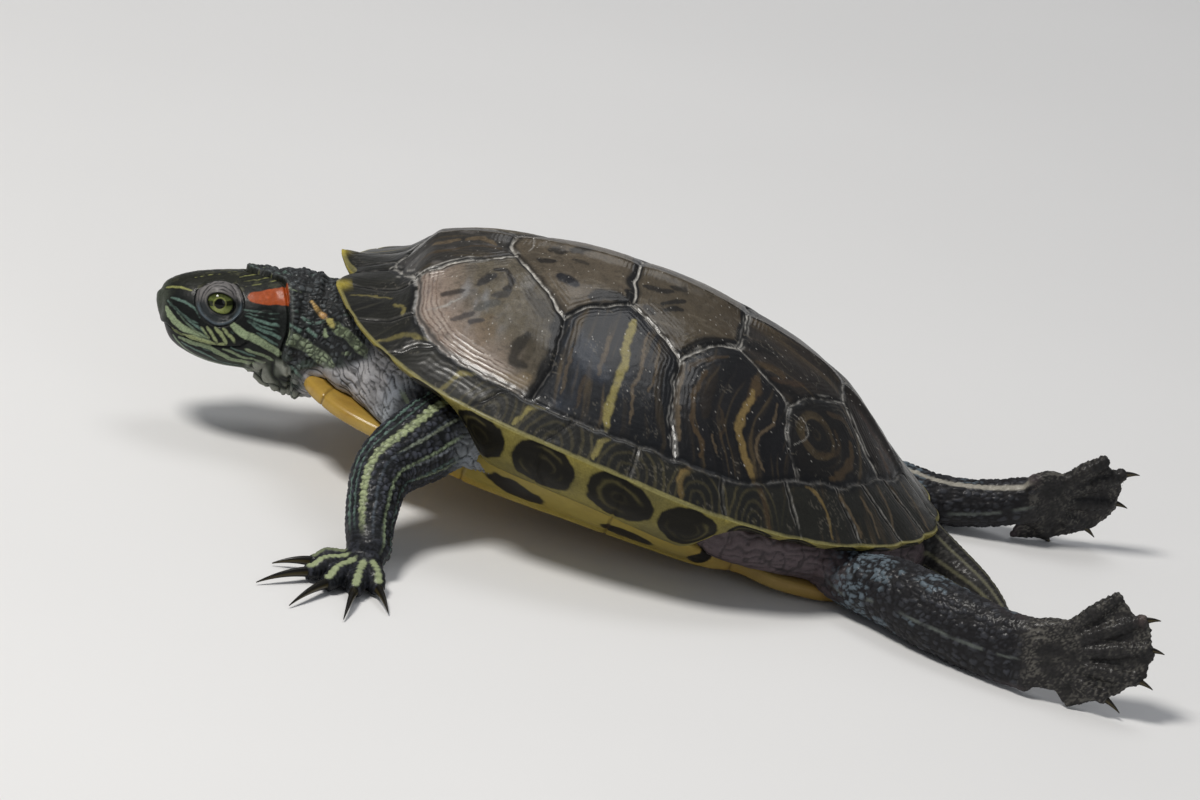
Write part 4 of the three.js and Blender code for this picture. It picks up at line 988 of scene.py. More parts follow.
def web_form(foot):
    """A thin scalloped fan between the toe tips."""
    ankle, face = foot["ankle"], foot["face"]
    tips = np.vstack([foot["heel"], foot["toes"]])
    first = unit(tips[0] - ankle)
    second = unit(np.cross(face, first))
    if (tips[-1] - ankle) @ second < 0:
        second = -second
    v = tips - ankle
    angle = np.arctan2(v @ second, v @ first)
    radius = np.linalg.norm(v, axis=1) * foot["web_reach"]
    height = v @ face
    rows, edge = 24, []
    fine = np.linspace(angle[0], angle[-1], 90)
    base = np.interp(fine, angle, radius)
    lift = np.interp(fine, angle, height)
    k = np.clip(np.searchsorted(angle, fine) - 1, 0, len(angle) - 2)
    t = (fine - angle[k]) / (angle[k + 1] - angle[k])
    base = base * (1 - foot["scallop"] * np.sin(np.pi * t) ** 0.8)
    out = np.linspace(0.02, 1, rows)
    spot = (
        ankle
        + (out[:, None] * (base * np.cos(fine)))[..., None] * first
        + (out[:, None] * (base * np.sin(fine)))[..., None] * second
        + (out[:, None] * lift)[..., None] * face
    )
    thick = foot["web"] * mixed(0.75, 0.42, out**2)[:, None] * (1 - 0 * fine)[None]
    upper = spot + thick[..., None] * face
    lower = spot - thick[..., None] * face
    rings = np.concatenate([upper, lower[:, ::-1]], axis=1)
    return ringed(rings)


def foot_forms(foot):
    ankle, toes, face = foot["ankle"], foot["toes"], foot["face"]
    heart = mixed(ankle, toes.mean(0), foot["palm_reach"])
    forms = [limb([[*ankle, foot["wrist"], foot["thickness"] * 1.1],
                   [*mixed(ankle, heart, 0.5), foot["wrist"] * 1.15, foot["thickness"] * 0.95],
                   [*heart, foot["palm"], foot["thickness"] * 0.8]], face, 2.3)]
    for tip in toes:
        size = foot["toe"]
        out = unit(tip - ankle)
        arch = face * (1 if face[2] > 0.5 else 0) * size * 0.35
        forms.append(limb([
            [*mixed(ankle, tip, 0.35), size * 1.2, size * 1.15],
            [*(mixed(ankle, tip, 0.55) + arch), size * 1.02, size * 1.1],
            [*(mixed(ankle, tip, 0.74) + arch), size * 1.12, size * 1.2],
            [*mixed(ankle, tip, 0.9), size * 0.95, size * 0.98],
            [*(tip + out * 0.3), size * 0.85, size * 0.85]], face, 2.1))
    forms.append(web_form(foot))
    return forms


def claw_lines(foot):
    """The root, direction, length and droop of each claw of a foot."""
    lines = []
    for tip, length in zip(foot["toes"], foot["claws"]):
        direction = unit(tip - foot["ankle"])
        direction[2] = max(direction[2], foot["rise"])
        direction = unit(direction)
        root = tip - 1.2 * direction
        drop = max(root[2] + direction[2] * length - foot["tip"], 0)
        lines.append((root, direction, length, min(drop, foot["droop"])))
    return lines


def skin_forms():
    mirrored = [[s[0], -s[1], *s[2:]] for s in ARM]
    forms = [
        trunk_form(), head_form(), limb(NECK), limb(TAIL, count=70),
        limb(ARM, (-0.4, 0, 1)), limb(mirrored, (-0.4, 0, 1)),
        limb(LEFT_LEG, (0, 0.3, 1)), limb(RIGHT_LEG, (0, 0.3, 1)),
    ]
    for side in (1, -1):
        orbit = EYE_AT * [1, side, 1] - [0, 1.4 * side, 0]
        forms.append(ball(from_head(orbit), (7.2, 6.3, 6.3), HEAD_AXES))
        forms.append(ball(from_head(EYE_AT * [1, side, 1]), (6.0, 6.0, 6.0), HEAD_AXES))
    for foot in FEET.values():
        forms += foot_forms(foot)
    return forms


def fused(forms, voxel, smoothing):
    """One surface over all the forms."""
    points, quads, start = [], [], 0
    for p, q in forms:
        points.append(p)
        quads.append(q + start)
        start += len(p)
    mesh = mesh_of("skin_forms", np.vstack(points), np.vstack(quads))
    maker = bpy.data.objects.new("skin_forms", mesh)
    bpy.context.scene.collection.objects.link(maker)
    remesh = maker.modifiers.new("remesh", "REMESH")
    remesh.mode = "VOXEL"
    remesh.voxel_size = voxel * MM
    soften = maker.modifiers.new("soften", "SMOOTH")
    soften.factor = 0.5
    soften.iterations = smoothing
    result = bpy.data.meshes.new_from_object(
        maker.evaluated_get(bpy.context.evaluated_depsgraph_get())
    )
    bpy.data.objects.remove(maker)
    bpy.data.meshes.remove(mesh)
    result.polygons.foreach_set("use_smooth", np.ones(len(result.polygons), bool))
    return result


def refined(mesh, chosen):
    """Cuts the faces in four where `chosen` is true of all their corners."""
    bm = bmesh.new()
    bm.from_mesh(mesh)
    bm.verts.ensure_lookup_table()
    edges = [e for e in bm.edges if chosen[e.verts[0].index] and chosen[e.verts[1].index]]
    bmesh.ops.subdivide_edges(bm, edges=edges, cuts=1, use_grid_fill=True, smooth=0.0)
    bm.to_mesh(mesh)
    bm.free()
    mesh.polygons.foreach_set("use_smooth", np.ones(len(mesh.polygons), bool))


# ---------------------------------------------------------------- skin relief and colours
INK, MOSS = srgb(18, 20, 20), srgb(40, 43, 36)
MINT, TEAL, LIME = srgb(138, 152, 120), srgb(98, 122, 112), srgb(144, 146, 88)
RED, CREAM, FROST = srgb(152, 68, 24), srgb(150, 160, 122), srgb(140, 145, 150)
MAUVE = srgb(88, 77, 80)

# Lines on each side of the head: points [forward, side, up], half width, colour, strength.
HEAD_LINES = [
    ([[17.4, 3.1, 9.0], [14.5, 5.3, 9.5], [10.1, 7.9, 8.9]], 0.36, LIME, 0.85),
    ([[16.1, 6.3, 6.5], [12.9, 8.7, 5.7], [9.6, 10.6, 3.9], [7.8, 11.7, 1.2]], 0.42, TEAL, 0.9),
    ([[17.2, 5.8, 5.6], [14.6, 8.4, 3.1], [11.3, 10.6, 0.6], [8.5, 11.9, -1.5], [5.6, 12.5, -3.7]],
     0.42, TEAL, 0.9),
    ([[17.5, 6, 3.6], [16.3, 7.6, 1], [13.5, 9.4, -1.4], [10.1, 11, -3.1], [6.7, 11.9, -4.8],
      [4.2, 12.3, -6.2]], 0.95, MINT, 1.0),
    ([[16.5, 6.9, -2.1], [14, 8.4, -3.6], [9.5, 10.8, -4.8], [3.9, 12.3, -6.1], [0, 13.2, -6.1]],
     0.62, mixed(MINT, LIME, 0.5), 0.95),
    ([[7.6, 12.3, -1.6], [6.2, 12.5, -3.2], [5.0, 12.6, -4.6]], 0.36, mixed(MINT, LIME, 0.3), 0.85),
    ([[5.7, 12.7, -1.4], [4, 12.9, -3.6], [2.9, 12.8, -5.4]], 0.5, mixed(MINT, LIME, 0.4), 0.95),
    ([[3.3, 13.1, -1.3], [1.1, 13.5, -3.8], [-0.1, 13.3, -5.8]], 0.56, mixed(MINT, LIME, 0.4), 0.95),
    ([[0.9, 13.8, -1.6], [-1.3, 14, -4], [-2.9, 13.7, -6.2]], 0.46, mixed(MINT, LIME, 0.4), 0.9),
    ([[-1.4, 14, -2.4], [-3.3, 14, -4.4], [-4.8, 13.9, -6]], 0.26, TEAL, 0.8),
    ([[-1.6, 13.7, -0.3], [-4.4, 14.7, -2.8], [-9, 14.9, -5], [-13.6, 14.3, -7.7], [-18.4, 12.9, -10.6]],
     1.15, MINT, 1.0),
    ([[-4.7, 13.4, 4], [-9, 13.9, 3.4], [-13.5, 13.9, 2.9], [-18.6, 13.3, 2.5]], 0.3, TEAL, 0.6),
    ([[-5, 13.7, 2.4], [-9, 14.4, 0.8], [-14.1, 14.5, -0.6], [-18.6, 14.2, -2]], 0.52, TEAL, 0.95),
    ([[-5.6, 14.1, 0.9], [-10.1, 15, -1.8], [-14.6, 14.9, -3.7], [-18.6, 14.2, -5.9]], 0.5, TEAL, 0.9),
    ([[-9, 15.1, -2.9], [-12.4, 14.9, -4.9], [-16.4, 14.1, -7.3]], 0.36, TEAL, 0.8),
    ([[-5.2, 13.9, 1.7], [-9.6, 14.8, -0.5], [-14.3, 14.8, -2.1], [-18.6, 14.2, -3.9]], 0.26, TEAL, 0.8),
    ([[-4.8, 13.5, 3.2], [-9, 14.2, 2.2], [-13.8, 14.2, 1.2], [-18.6, 13.8, 0.4]], 0.26, TEAL, 0.75),
    ([[16.9, 6.2, 4.6], [14, 8.9, 1.9], [11.2, 10.8, -0.9], [8.2, 12, -3], [5.6, 12.4, -4.5]], 0.22,
     mixed(TEAL, MINT, 0.4), 0.75),
    ([[16, 6.9, 5.2], [13.4, 9, 2.6], [10.8, 10.7, 0.9], [8.3, 11.8, -0.4]], 0.22, TEAL, 0.7),
    ([[12.6, 8.5, -6.2], [8.2, 10.3, -7.9], [4, 11, -9.2], [0, 10.4, -10.6]], 0.24, TEAL, 0.75),
    ([[9.1, 4.6, 12.2], [3.7, 4.2, 12.9], [-1.5, 3.0, 13.6], [-6, 2.2, 13.8]], 0.2, LIME, 0.8),
    ([[8.2, 2, 13], [4.2, 1.2, 13.6], [-2, 0.6, 13.9]], 0.18, LIME, 0.7),
    ([[-4.1, 5.9, 12.5], [-9.3, 4.6, 13.2], [-14, 3.2, 13.7]], 0.2, LIME, 0.8),
    ([[-5.2, 7.7, 11.2], [-9.2, 7.1, 11.8], [-13.5, 6.2, 12.6]], 0.22, LIME, 0.8),
    ([[-5.7, 9.2, 10.1], [-9.7, 8.7, 10.7], [-13.7, 7.9, 11.5], [-17.1, 7.2, 11.9]], 0.2, LIME, 0.7),
    ([[15.7, 6.3, -4.9], [13.3, 6, -7.6], [9.3, 5.8, -10.5], [3.6, 5.9, -12.9], [-4, 6, -14.6]],
     0.5, mixed(MINT, TEAL, 0.4), 0.95),
    ([[14, 7.9, -5.3], [10.3, 9.8, -6.7], [5.6, 11.7, -7.8], [1.6, 11.3, -9.6], [-1.8, 10.9, -11.4],
      [-5.8, 11.2, -12], [-10, 10.9, -12.7]], 0.8, MINT, 0.95),
    ([[13.4, 7.3, -6.8], [9.4, 8.7, -8.8], [5.5, 9.4, -10.2], [1.4, 8.2, -12.2], [-4, 8.4, -13.6]],
     0.42, TEAL, 0.9),
    ([[1.4, 12.7, -8], [-1.7, 12.7, -9], [-4.6, 12.3, -10.3], [-8, 12.3, -11], [-11.5, 11.8, -12]],
     0.5, MINT, 0.9),
    ([[-4.5, 13.4, -7], [-6.8, 14, -8.6], [-10.2, 13.8, -9.5], [-13.6, 12.4, -11.3], [-16.5, 10.4, -13.2]],
     0.5, MINT, 0.9),
    ([[-1.1, 13.4, -7.4], [-4.5, 13.5, -8.9], [-8.5, 13.2, -10]], 0.3, TEAL, 0.8),
    ([[13, 3.0, -8.6], [8, 3.2, -11.6], [0, 3.4, -14], [-8, 3.4, -15.3], [-16, 3.4, -15.9]], 0.5, MINT, 0.9),
    ([[16.2, 0.6, -4.6], [13.5, 0.4, -8.2], [9, 0.2, -11.3]], 0.5, MINT, 0.9),
]
MOUTH = [[17.6, -1.5], [15.1, -3.1], [10.7, -5.6], [5.6, -6.9], [0, -7.3], [-4, -6.8], [-6.5, -5.2]]
RED_LOW = [[-19.5, 5.4], [-14.1, 5.3], [-10.1, 5.6], [-7.3, 6.3], [-6.0, 7.3]]
RED_HIGH = [[-19.5, 10.6], [-14.2, 9.8], [-10.2, 9.2], [-7, 8.6], [-6.0, 7.6]]
COLLAR = [[-19, -13], [-16.8, -10], [-18.2, -3], [-18.6, 4], [-17.6, 11.5], [-14.2, 14.5]]
LENS_SIDE = np.array([0.01184, -0.9297, 0.36803])
FORWARD_SIDE = np.array([-0.97955, -0.0847, -0.18265])


def tracked(p, stations, limit=2.0):
    """Place along a limb, angle round it and distance in radii; angle 0 is outwards and up."""
    line, wide, thick, tangent, _, _ = framed(stations, 70, np.array([0, 0, 1.0]))
    run = np.concatenate([[0], np.cumsum(np.linalg.norm(np.diff(line, axis=0), axis=1))])
    size = (wide + thick) / 2
    out = dict(t=np.zeros(len(p)), run=np.zeros(len(p)), turn=np.zeros(len(p)), far=np.full(len(p), 9.0),
               size=np.ones(len(p)), off=np.zeros_like(p))
    box = np.all((p > line.min(0) - limit * size.max()) & (p < line.max(0) + limit * size.max()), axis=1)
    near = np.flatnonzero(box)
    best, which = np.full(len(near), 1e9), np.zeros(len(near), int)
    for i, centre in enumerate(line):
        d = np.linalg.norm(p[near] - centre, axis=1) / size[i]
        which = np.where(d < best, i, which)
        best = np.minimum(best, d)
    off = p[near] - line[which]
    step = np.sum(off * tangent[which], axis=1)
    outward = unit(LENS_SIDE - tangent[which] * (tangent[which] @ LENS_SIDE)[:, None])
    ahead = np.cross(outward, tangent[which])
    ahead = ahead * np.sign(ahead.mean(0) @ FORWARD_SIDE)
    out["t"][near] = which / (len(line) - 1)
    out["run"][near] = run[which] + step
    out["turn"][near] = np.degrees(np.arctan2(np.sum(off * ahead, axis=1), np.sum(off * outward, axis=1)))
    out["far"][near] = best
    out["size"][near] = size[which]
    out["off"][near] = off
    return out


def side_view(points):
    """Points pushed along the outward direction onto one plane."""
    outward = LENS_SIDE * [1, -1, 1]
    return points - (points @ outward)[:, None] * outward


def folded_lines(p, size, seed, count, squash=(1, 1, 1)):
    """Swirling wrinkle lines, 0 to 1: the contour lines of a smooth field."""
    field = noise(p * np.array(squash), size, seed, 2) * count
    return np.abs(field - np.round(field)) * 2


def head_relief(q, p):
    """Outward moves over the head and the weights of its parts."""
    f, s, u = q[:, 0], np.abs(q[:, 1]), q[:, 2]
    move = np.zeros(len(q))
    collar = hermite([[row[1], row[0]] for row in COLLAR], u)
    collar = collar + 8.5 * smooth(10, 1, s) * smooth(6, 11, u)
    ahead = smooth(-1.0, 0.1, f - collar)
    # The mouth: the upper beak stands over the lower jaw.
    mouth = np.interp(f, [row[0] for row in MOUTH[::-1]], [row[1] for row in MOUTH[::-1]])
    gap = u - mouth + 0.12 * noise(p, 3, 51)
    in_mouth = smooth(-7.6, -5.2, f) * ahead
    move += in_mouth * (-0.75 * bell(gap, 0, 0.32) + 0.4 * smooth(0, 0.4, gap) * smooth(4.2, 0.9, gap)
                        - 0.35 * smooth(0, -0.4, gap) * smooth(-5, -1, gap))
    # Nostrils, brow, ear drum.
    nostril = np.linalg.norm(np.stack([f - 18.2, s - 2.0, u - 6.6], 1), axis=1)
    move -= 1.0 * smooth(1.0, 0.35, nostril)
    move += 0.18 * bell(nostril, 1.2, 0.4)
    ear = np.hypot(f + 11.4, (u - 0.2)) / 3.9
    lateral = smooth(7, 11, s)
    move += lateral * ahead * (-0.22 * bell(ear, 1, 0.14) - 0.14 * smooth(0.95, 0.6, ear))
    # The collar of neck skin behind the head.
    back = f - collar + 0.35 * noise(p, 4, 52)
    fold = smooth(0.35, -0.15, back) * smooth(-5.5, -0.6, back)
    move += 1.5 * fold * smooth(-14, -9, u) - 0.8 * bell(back, 0.5, 0.4)
    bag = smooth(-10.5, -13, u) * smooth(-4, -8, f)
    move += bag * (2.2 * np.minimum(np.abs(noise(p * [1, 1.3, 0.45], 3.0, 57)), 0.7) - 0.3)
    move += ahead * (0.05 * noise(p, 1.1, 53, 2) + 0.1 * noise(p, 4, 54, 2))
    crown = smooth(8, 12, u) * ahead
    _, border, _ = scales(p, 3.2, 55)
    move += crown * (0.06 * smooth(0, 0.25, border) - 0.05)
    return move, ahead, collar, mouth, gap, in_mouth, ear, nostril


def lid_wave(disc, p):
    """The fine folds of the lids, which run round the eye and fade in and out."""
    wave = np.sin((disc + 0.13 * noise(p, 3.2, 50, 2)) * 6.7 * 2 * np.pi / 0.95 + 0.4)
    return wave * smooth(-0.5, 0.4, noise(p, 2.2, 102, 2))


def open_eyes(q, p):
    """Opens the lids over each eyeball: q moved, weight of the lids and the rings for their colours."""
    lids, opening, disc_at = np.zeros(len(q)), np.full(len(q), 9.0), np.full(len(q), 9.0)
    for side in (1, -1):
        d = q - EYE_AT * [1, side, 1]
        ahead, out, up = d[:, 0], d[:, 1] * side, d[:, 2]
        lean = np.stack([ahead + LID_SHIFT[0], up - LID_SHIFT[1] - 0.2 * (ahead + LID_SHIFT[0])])
        ring = np.hypot(lean[0] / LID_OPENING[0], lean[1] / LID_OPENING[1])
        disc = np.hypot(ahead * 0.96, up - 0.2) / 6.6 + 0.075 * noise(p, 3.6, 56)
        near = (out > 0) & (disc < 1.5)
        flat = np.hypot(ahead, up)
        eye = np.sqrt(np.maximum(EYE_RADIUS**2 - flat**2, 1))
        rim = mixed(eye + 0.5, out, smooth(1.02, 1.5, ring))
        folds = smooth(1.15, 1.35, ring) * smooth(0.98, 0.9, disc) * mixed(0.6, 1, smooth(-1, 2, up))
        wave = lid_wave(disc, p)
        lid = rim + 0.13 * folds * wave + 0.22 * bell(ring, 1.12, 0.08) - 0.55 * bell(disc, 1.02, 0.045)
        lid += 0.25 * bell(disc, 0.92, 0.06) + 0.2 * smooth(1.5, 4.5, up) * smooth(1.05, 0.9, disc)
        depth = mixed(eye - 0.9, lid, smooth(0.95, 1.02, ring))
        depth = mixed(depth, out, smooth(1.1, 1.22, disc))
        q[near, 1] = side * depth[near]
        q[near, 1] += EYE_AT[1] * side
        lids = np.where(near, smooth(1.06, 1.0, disc), lids)
        opening, disc_at = np.where(near, ring, opening), np.where(near, disc, disc_at)
    return q, lids, opening, disc_at


# Bands of pale scales and lines of spots on each side of the neck: [x, |y|, z], half width, colour.
NECK_BANDS = [
    ([[-98.5, 15.2, 38.9], [-92.8, 16.8, 37.4], [-88.4, 17.7, 35.6], [-83.9, 17.2, 32.6]], 1.9,
     srgb(134, 146, 120)),
    ([[-84.5, 15.6, 44.6], [-78.6, 17.5, 42.3], [-74.8, 21, 41]], 1.5, srgb(128, 140, 110)),
    ([[-101, 14.6, 42.2], [-97.5, 15.2, 41.9], [-94.5, 15.6, 41.2]], 0.5, TEAL),
    ([[-92.6, 11.6, 48.8], [-91, 12.6, 47.6], [-89.6, 13.5, 46.9]], 0.6, srgb(168, 138, 84)),
    ([[-89, 13.8, 46.5], [-87.4, 14.4, 45.8]], 0.65, srgb(172, 134, 82)),
    ([[-86.3, 15, 45.6], [-85.2, 15.3, 44.6]], 0.8, srgb(168, 158, 96)),
    ([[-86.8, 15.2, 42.6], [-86.6, 15.6, 41.2]], 0.6, MINT),
    ([[-92, 15.6, 41.8], [-89.6, 16, 40.6]], 0.45, TEAL),
    ([[-99, 15.6, 30], [-94, 17.4, 29.2], [-89.5, 18.2, 27.6]], 0.5, TEAL),
]


def make_skin():
    mesh = fused(skin_forms(), VOXEL, 5)
    rough_points = points_of(mesh)
    refined(mesh, (rough_points[:, 0] < -74) & (rough_points[:, 2] > 10))
    p, n = points_of(mesh), normals_of(mesh)
    q = to_head(p)
    in_head = (q[:, 0] > -27) & (p[:, 0] < -88)
    move = np.zeros(len(p))
    tone = np.tile(MOSS, (len(p), 1))
    rough = np.full(len(p), 0.5)

    near_arm = {side: tracked(p, [[r[0], r[1] * side, *r[2:]] for r in ARM]) for side in (-1, 1)}
    neck, tail = tracked(p, NECK, 2.6), tracked(p, TAIL, 2.4)
    left_leg, right_leg = tracked(p, LEFT_LEG, 1.8), tracked(p, RIGHT_LEG, 1.8)
    fleck = noise(p, 0.9, 61, 2)
    cloud = noise(p, 8, 62, 2)

    # Pocket skin between the shells: flowing wrinkles, pale in front, mauve behind.
    pale = smooth(-22, -38, p[:, 0])
    field = (p[:, 2] * 0.9 + p[:, 0] * 0.4 * pale) / 2.0 + 1.5 * noise(p, 8, 63, 2) + 0.5 * noise(p, 3, 64)
    swirl = np.abs(field - np.round(field)) * 2 + 0.5 * np.maximum(noise(p, 4, 78, 2), 0)
    rolls = noise(p * [0.6, 1, 1.3], 6, 112, 2)
    crease = np.abs(noise(p * [0.7, 1, 0.7], 3.4, 99, 2)) * 3
    tone[:] = mixed(MAUVE, FROST, pale[:, None])
    lay(tone, pale * smooth(-62, -72, p[:, 0] + 0.5 * (30 - p[:, 2])) * 0.7, srgb(176, 172, 172))
    lay(tone, pale * smooth(0, 0.7, cloud) * 0.5, srgb(104, 114, 126))
    lay(tone, smooth(0.4, 0.1, swirl) * smooth(-0.5, 0.1, noise(p, 2.6, 113, 2)) * mixed(0.5, 0.85, pale), INK)
    # Painted shade: the troughs between the broad rolls of skin are darkened.
    lay(tone, smooth(0.0, -0.7, rolls) * 0.45, INK)
    lay(tone, smooth(0.3, 0.06, crease) * 0.6, INK)
    move += 0.32 * smooth(0.1, 0.6, swirl) + 0.12 * smooth(0.05, 0.4, crease) + 0.7 * rolls - 0.3

    # Neck: dark grains, pale squarish scales in two bands, spots, loose folds at the throat.
    shoulder = p[:, 0] + 89.5 - 1.6 * np.maximum(p[:, 2] - 30.5, -1) + 3.5 * noise(p, 5, 101, 2)
    on_neck = smooth(2.0, 1.6, neck["far"]) * smooth(2.5, -2.5, shoulder)
    low = smooth(32, 24, p[:, 2]) * smooth(-80, -90, p[:, 0])
    turn = neck["turn"]
    along_neck = np.stack([p[:, 0], np.radians(turn) * 16, 0 * p[:, 0]], 1)
    _, border, name = scales(along_neck, 1.5, 65, (0.85, 1.05, 1))
    lay(tone, on_neck * 0.97, srgb(24, 26, 27))
    lay(tone, on_neck * smooth(0.08, 0.35, border) * (0.2 + 0.65 * name), srgb(82, 87, 90))
    grains = 0.5 * smooth(0.02, 0.4, border) - 0.25
    folds = np.sin((p[:, 0] + 1.5 * cloud) * 2 * np.pi / 5.2)
    both = np.stack([p[:, 0], np.abs(p[:, 1]), p[:, 2]], 1)
    both_loose = both + np.stack([noise(p, 4, 66 + k, 2) for k in range(3)], 1) * 0.5
    lower = smooth(40, 33, p[:, 2]) * smooth(17, 22, both[:, 1] + (36 - p[:, 2]))
    wavy = folded_lines(p * [0.35, 1, 1.3], 5, 79, 3)
    lay(tone, on_neck * lower * smooth(0.25, 0.6, wavy) * 0.6, srgb(72, 84, 76))
    for line, wide, colour in NECK_BANDS:
        away, along = reach(side_view(both_loose), side_view(np.array(line, float)), wide + 2)
        away = away + 9 * (both[:, 1] < 8)
        square = np.sin(along * len(line) * 3.6 * np.pi)
        band = smooth(wide + 0.25, wide - 0.35, away + 0.35 * noise(p, 1.6, 80))
        lay(tone, on_neck * bell(away, wide + 0.6, 0.5) * 0.6, INK)
        lay(tone, on_neck * band * 0.95, colour)
        if wide > 1:
            lay(tone, on_neck * band * smooth(0.2, -0.5, noise(p, 2.4, 114, 2)) * 0.6, srgb(44, 50, 46))
            lay(tone, on_neck * band * smooth(0.2, 0.05, border) * 0.7, INK)
        lay(tone, on_neck * band * smooth(-0.6, -0.95, square) * 0.5, srgb(38, 44, 38))
        grains = np.where((away < wide) & (wide < 1), 0.2 * smooth(-0.95, -0.4, square), grains)
    for centre, wide, colour in ((40, 1.6, TEAL), (14, 1.3, MINT), (-12, 1.6, TEAL), (-38, 1.8, MINT), (62, 2.6, TEAL), (98, 2.5, LIME), (134, 2.5, TEAL), (176, 3, MINT),
                                 (-64, 3.2, TEAL), (-92, 3, MINT), (-128, 4, MINT), (-160, 4, MINT)):
        away = np.abs((turn - centre - 6 * noise(p, 7, 81) + 180) % 360 - 180) / wide
        broken = smooth(-0.15, 0.3, noise(along_neck, 4, centre + 400, 2))
        lay(tone, on_neck * smooth(1.3, 0.6, away) * broken * smooth(0.05, 0.2, border) * 0.7, colour)
    move = mixed(move, grains + 0.25 * folds * smooth(-80, -86, p[:, 0]), on_neck)
    throat = low * on_neck * smooth(20, 12, both[:, 1])
    bags = np.abs(noise(p * [1, 1.3, 0.45], 3.0, 68))
    lay(tone, throat * smooth(0.1, 0.45, bags) * smooth(0.02, 0.2, border) * 0.9, srgb(142, 144, 134))
    lay(tone, throat * smooth(0.14, 0.04, bags) * 0.9, INK)
    move += throat * (2.2 * np.minimum(bags, 0.7) - 0.3)

    # Arms, mirrored: rows of scales, a broad pale stripe and thin ones.
    for side in (-1, 1):
        arm = near_arm[side]
        t, turn = arm["t"], arm["turn"]
        on_arm = smooth(1.55, 1.2, arm["far"]) * smooth(38, 47, p[:, 1] * side) * smooth(-38, -44, p[:, 0])
        sheet = np.stack([arm["run"], np.radians(turn) * arm["size"], 0 * t], 1)
        first, border, name = scales(sheet, 1.9, 69, (1.15, 0.9, 1))
        lay(tone, on_arm * 0.97, srgb(20, 21, 23))
        lay(tone, on_arm * smooth(0.06, 0.3, border) * (0.15 + 0.75 * name), srgb(74, 77, 87))
        lines = [(mixed(40, 14, t), mixed(1.5, 0.8, t), CREAM, 1.0), (mixed(72, 52, t), 0.5, TEAL, 0.95),
                 (mixed(58, 34, t), 0.26, TEAL, 0.8), (mixed(12, -14, t), 0.3, srgb(84, 92, 100), 0.8),
                 (mixed(-20, -44, t), 0.5, MINT, 0.85), (mixed(-48, -80, t), 0.4, TEAL, 0.7),
                 (104 - 6 * t, 0.5, MINT, 0.8), (150 + 0 * t, 0.7, MINT, 0.8), (-120 + 0 * t, 0.5, TEAL, 0.7),
                 (-160 + 0 * t, 0.5, MINT, 0.7)]
        upper = smooth(0.5, 0.35, t)
        lines += [(2 + 0 * t, 0.4 * upper, mixed(CREAM, FROST, 0.4), 0.8),
                  (-34 + 0 * t, 0.35 * upper, FROST, 0.7), (-64 + 0 * t, 0.4 * upper, MINT, 0.7)]
        for centre, wide, colour, strength in lines:
            away = np.abs((turn - centre + 180) % 360 - 180) * np.pi / 180 * arm["size"]
            beaded = wide * (1 + 0.22 * np.sin(arm["run"] * 2 * np.pi / 2.6)) + 0.12 * noise(p, 2, 70)
            lay(tone, on_arm * smooth(beaded + 0.22, beaded - 0.18, away) * strength * (wide > 0.05), colour)
            lay(tone, on_arm * bell(away, beaded + 0.45, 0.25) * 0.6, INK)
        lay(tone, on_arm * smooth(0.16, 0.04, border) * 0.6, INK)
        move = mixed(move, 0.48 * smooth(0.02, 0.36, border) - 0.2 + 0.05 * fleck, on_arm)

    # Hind legs: bigger scales, pale patches on the thigh, dark towards the foot.
    for leg, side in ((left_leg, -1), (right_leg, 1)):
        on_leg = smooth(1.5, 1.15, leg["far"]) * smooth(70, 80, p[:, 0])
        sheet = np.stack([leg["run"], np.radians(leg["turn"]) * leg["size"], 0 * p[:, 0]], 1)
        sheet[:, :2] += np.stack([noise(p, 5, 71), noise(p, 5, 72)], 1) * 0.8
        _, border, name = scales(sheet, 1.9, 73, (0.75, 1.1, 1))
        _, border_small, _ = scales(sheet, 1.05, 74, (0.8, 1.1, 1))
        lay(tone, on_leg * 0.97, srgb(20, 20, 22))
        lay(tone, on_leg * smooth(0.06, 0.3, border) * (0.1 + 0.6 * name), srgb(66, 68, 74))
        patch = noise(sheet * [0.6, 1.2, 1], 8, 75, 2) + mixed(0.32, -0.25, smooth(0.1, 0.75, leg["t"]))
        pale_scale = smooth(0.1, 0.35, patch) * (name > 0.25) * smooth(0.06, 0.2, border)
        lay(tone, on_leg * pale_scale * 0.8, srgb(98, 111, 120))
        for centre, wide in ((30, 0.5), (118, 0.6), (176, 0.9)):
            away = np.abs((leg["turn"] - centre + 180) % 360 - 180) * np.pi / 180 * leg["size"]
            broken = smooth(-0.1, 0.25, noise(sheet, 4, 76 + abs(centre)))
            lay(tone, on_leg * smooth(wide + 0.3, wide - 0.3, away) * broken * 0.6, srgb(112, 118, 112))
        if side > 0:
            away = np.abs((leg["turn"] + 46 + 180) % 360 - 180) * np.pi / 180 * leg["size"]
            lay(tone, on_leg * smooth(1.1, 0.6, away), srgb(150, 146, 136))
        height = 0.42 * smooth(0.02, 0.36, border) + 0.14 * smooth(0.02, 0.3, border_small) - 0.28
        move = mixed(move, height, on_leg)

    # Tail: dark with pale lines along it, ringed with small scales.
    on_tail = smooth(1.6, 1.2, tail["far"]) * smooth(80, 88, p[:, 0])
    sheet = np.stack([tail["run"], np.radians(tail["turn"]) * tail["size"], 0 * p[:, 0]], 1)
    _, border, name = scales(sheet, 1.7, 77, (1.2, 0.9, 1))
    lay(tone, on_tail * 0.95, srgb(26, 26, 25))
    lay(tone, on_tail * smooth(0.06, 0.3, border) * 0.4 * name, srgb(84, 82, 78))
    for centre in (60, 20, -30, -80, 130, 180):
        away = np.abs((tail["turn"] - centre + 180) % 360 - 180) * np.pi / 180 * tail["size"]
        lay(tone, on_tail * smooth(0.7, 0.3, away) * 0.6, srgb(112, 110, 88))
    move = mixed(move, 0.22 * smooth(0.02, 0.3, border) - 0.1, on_tail)

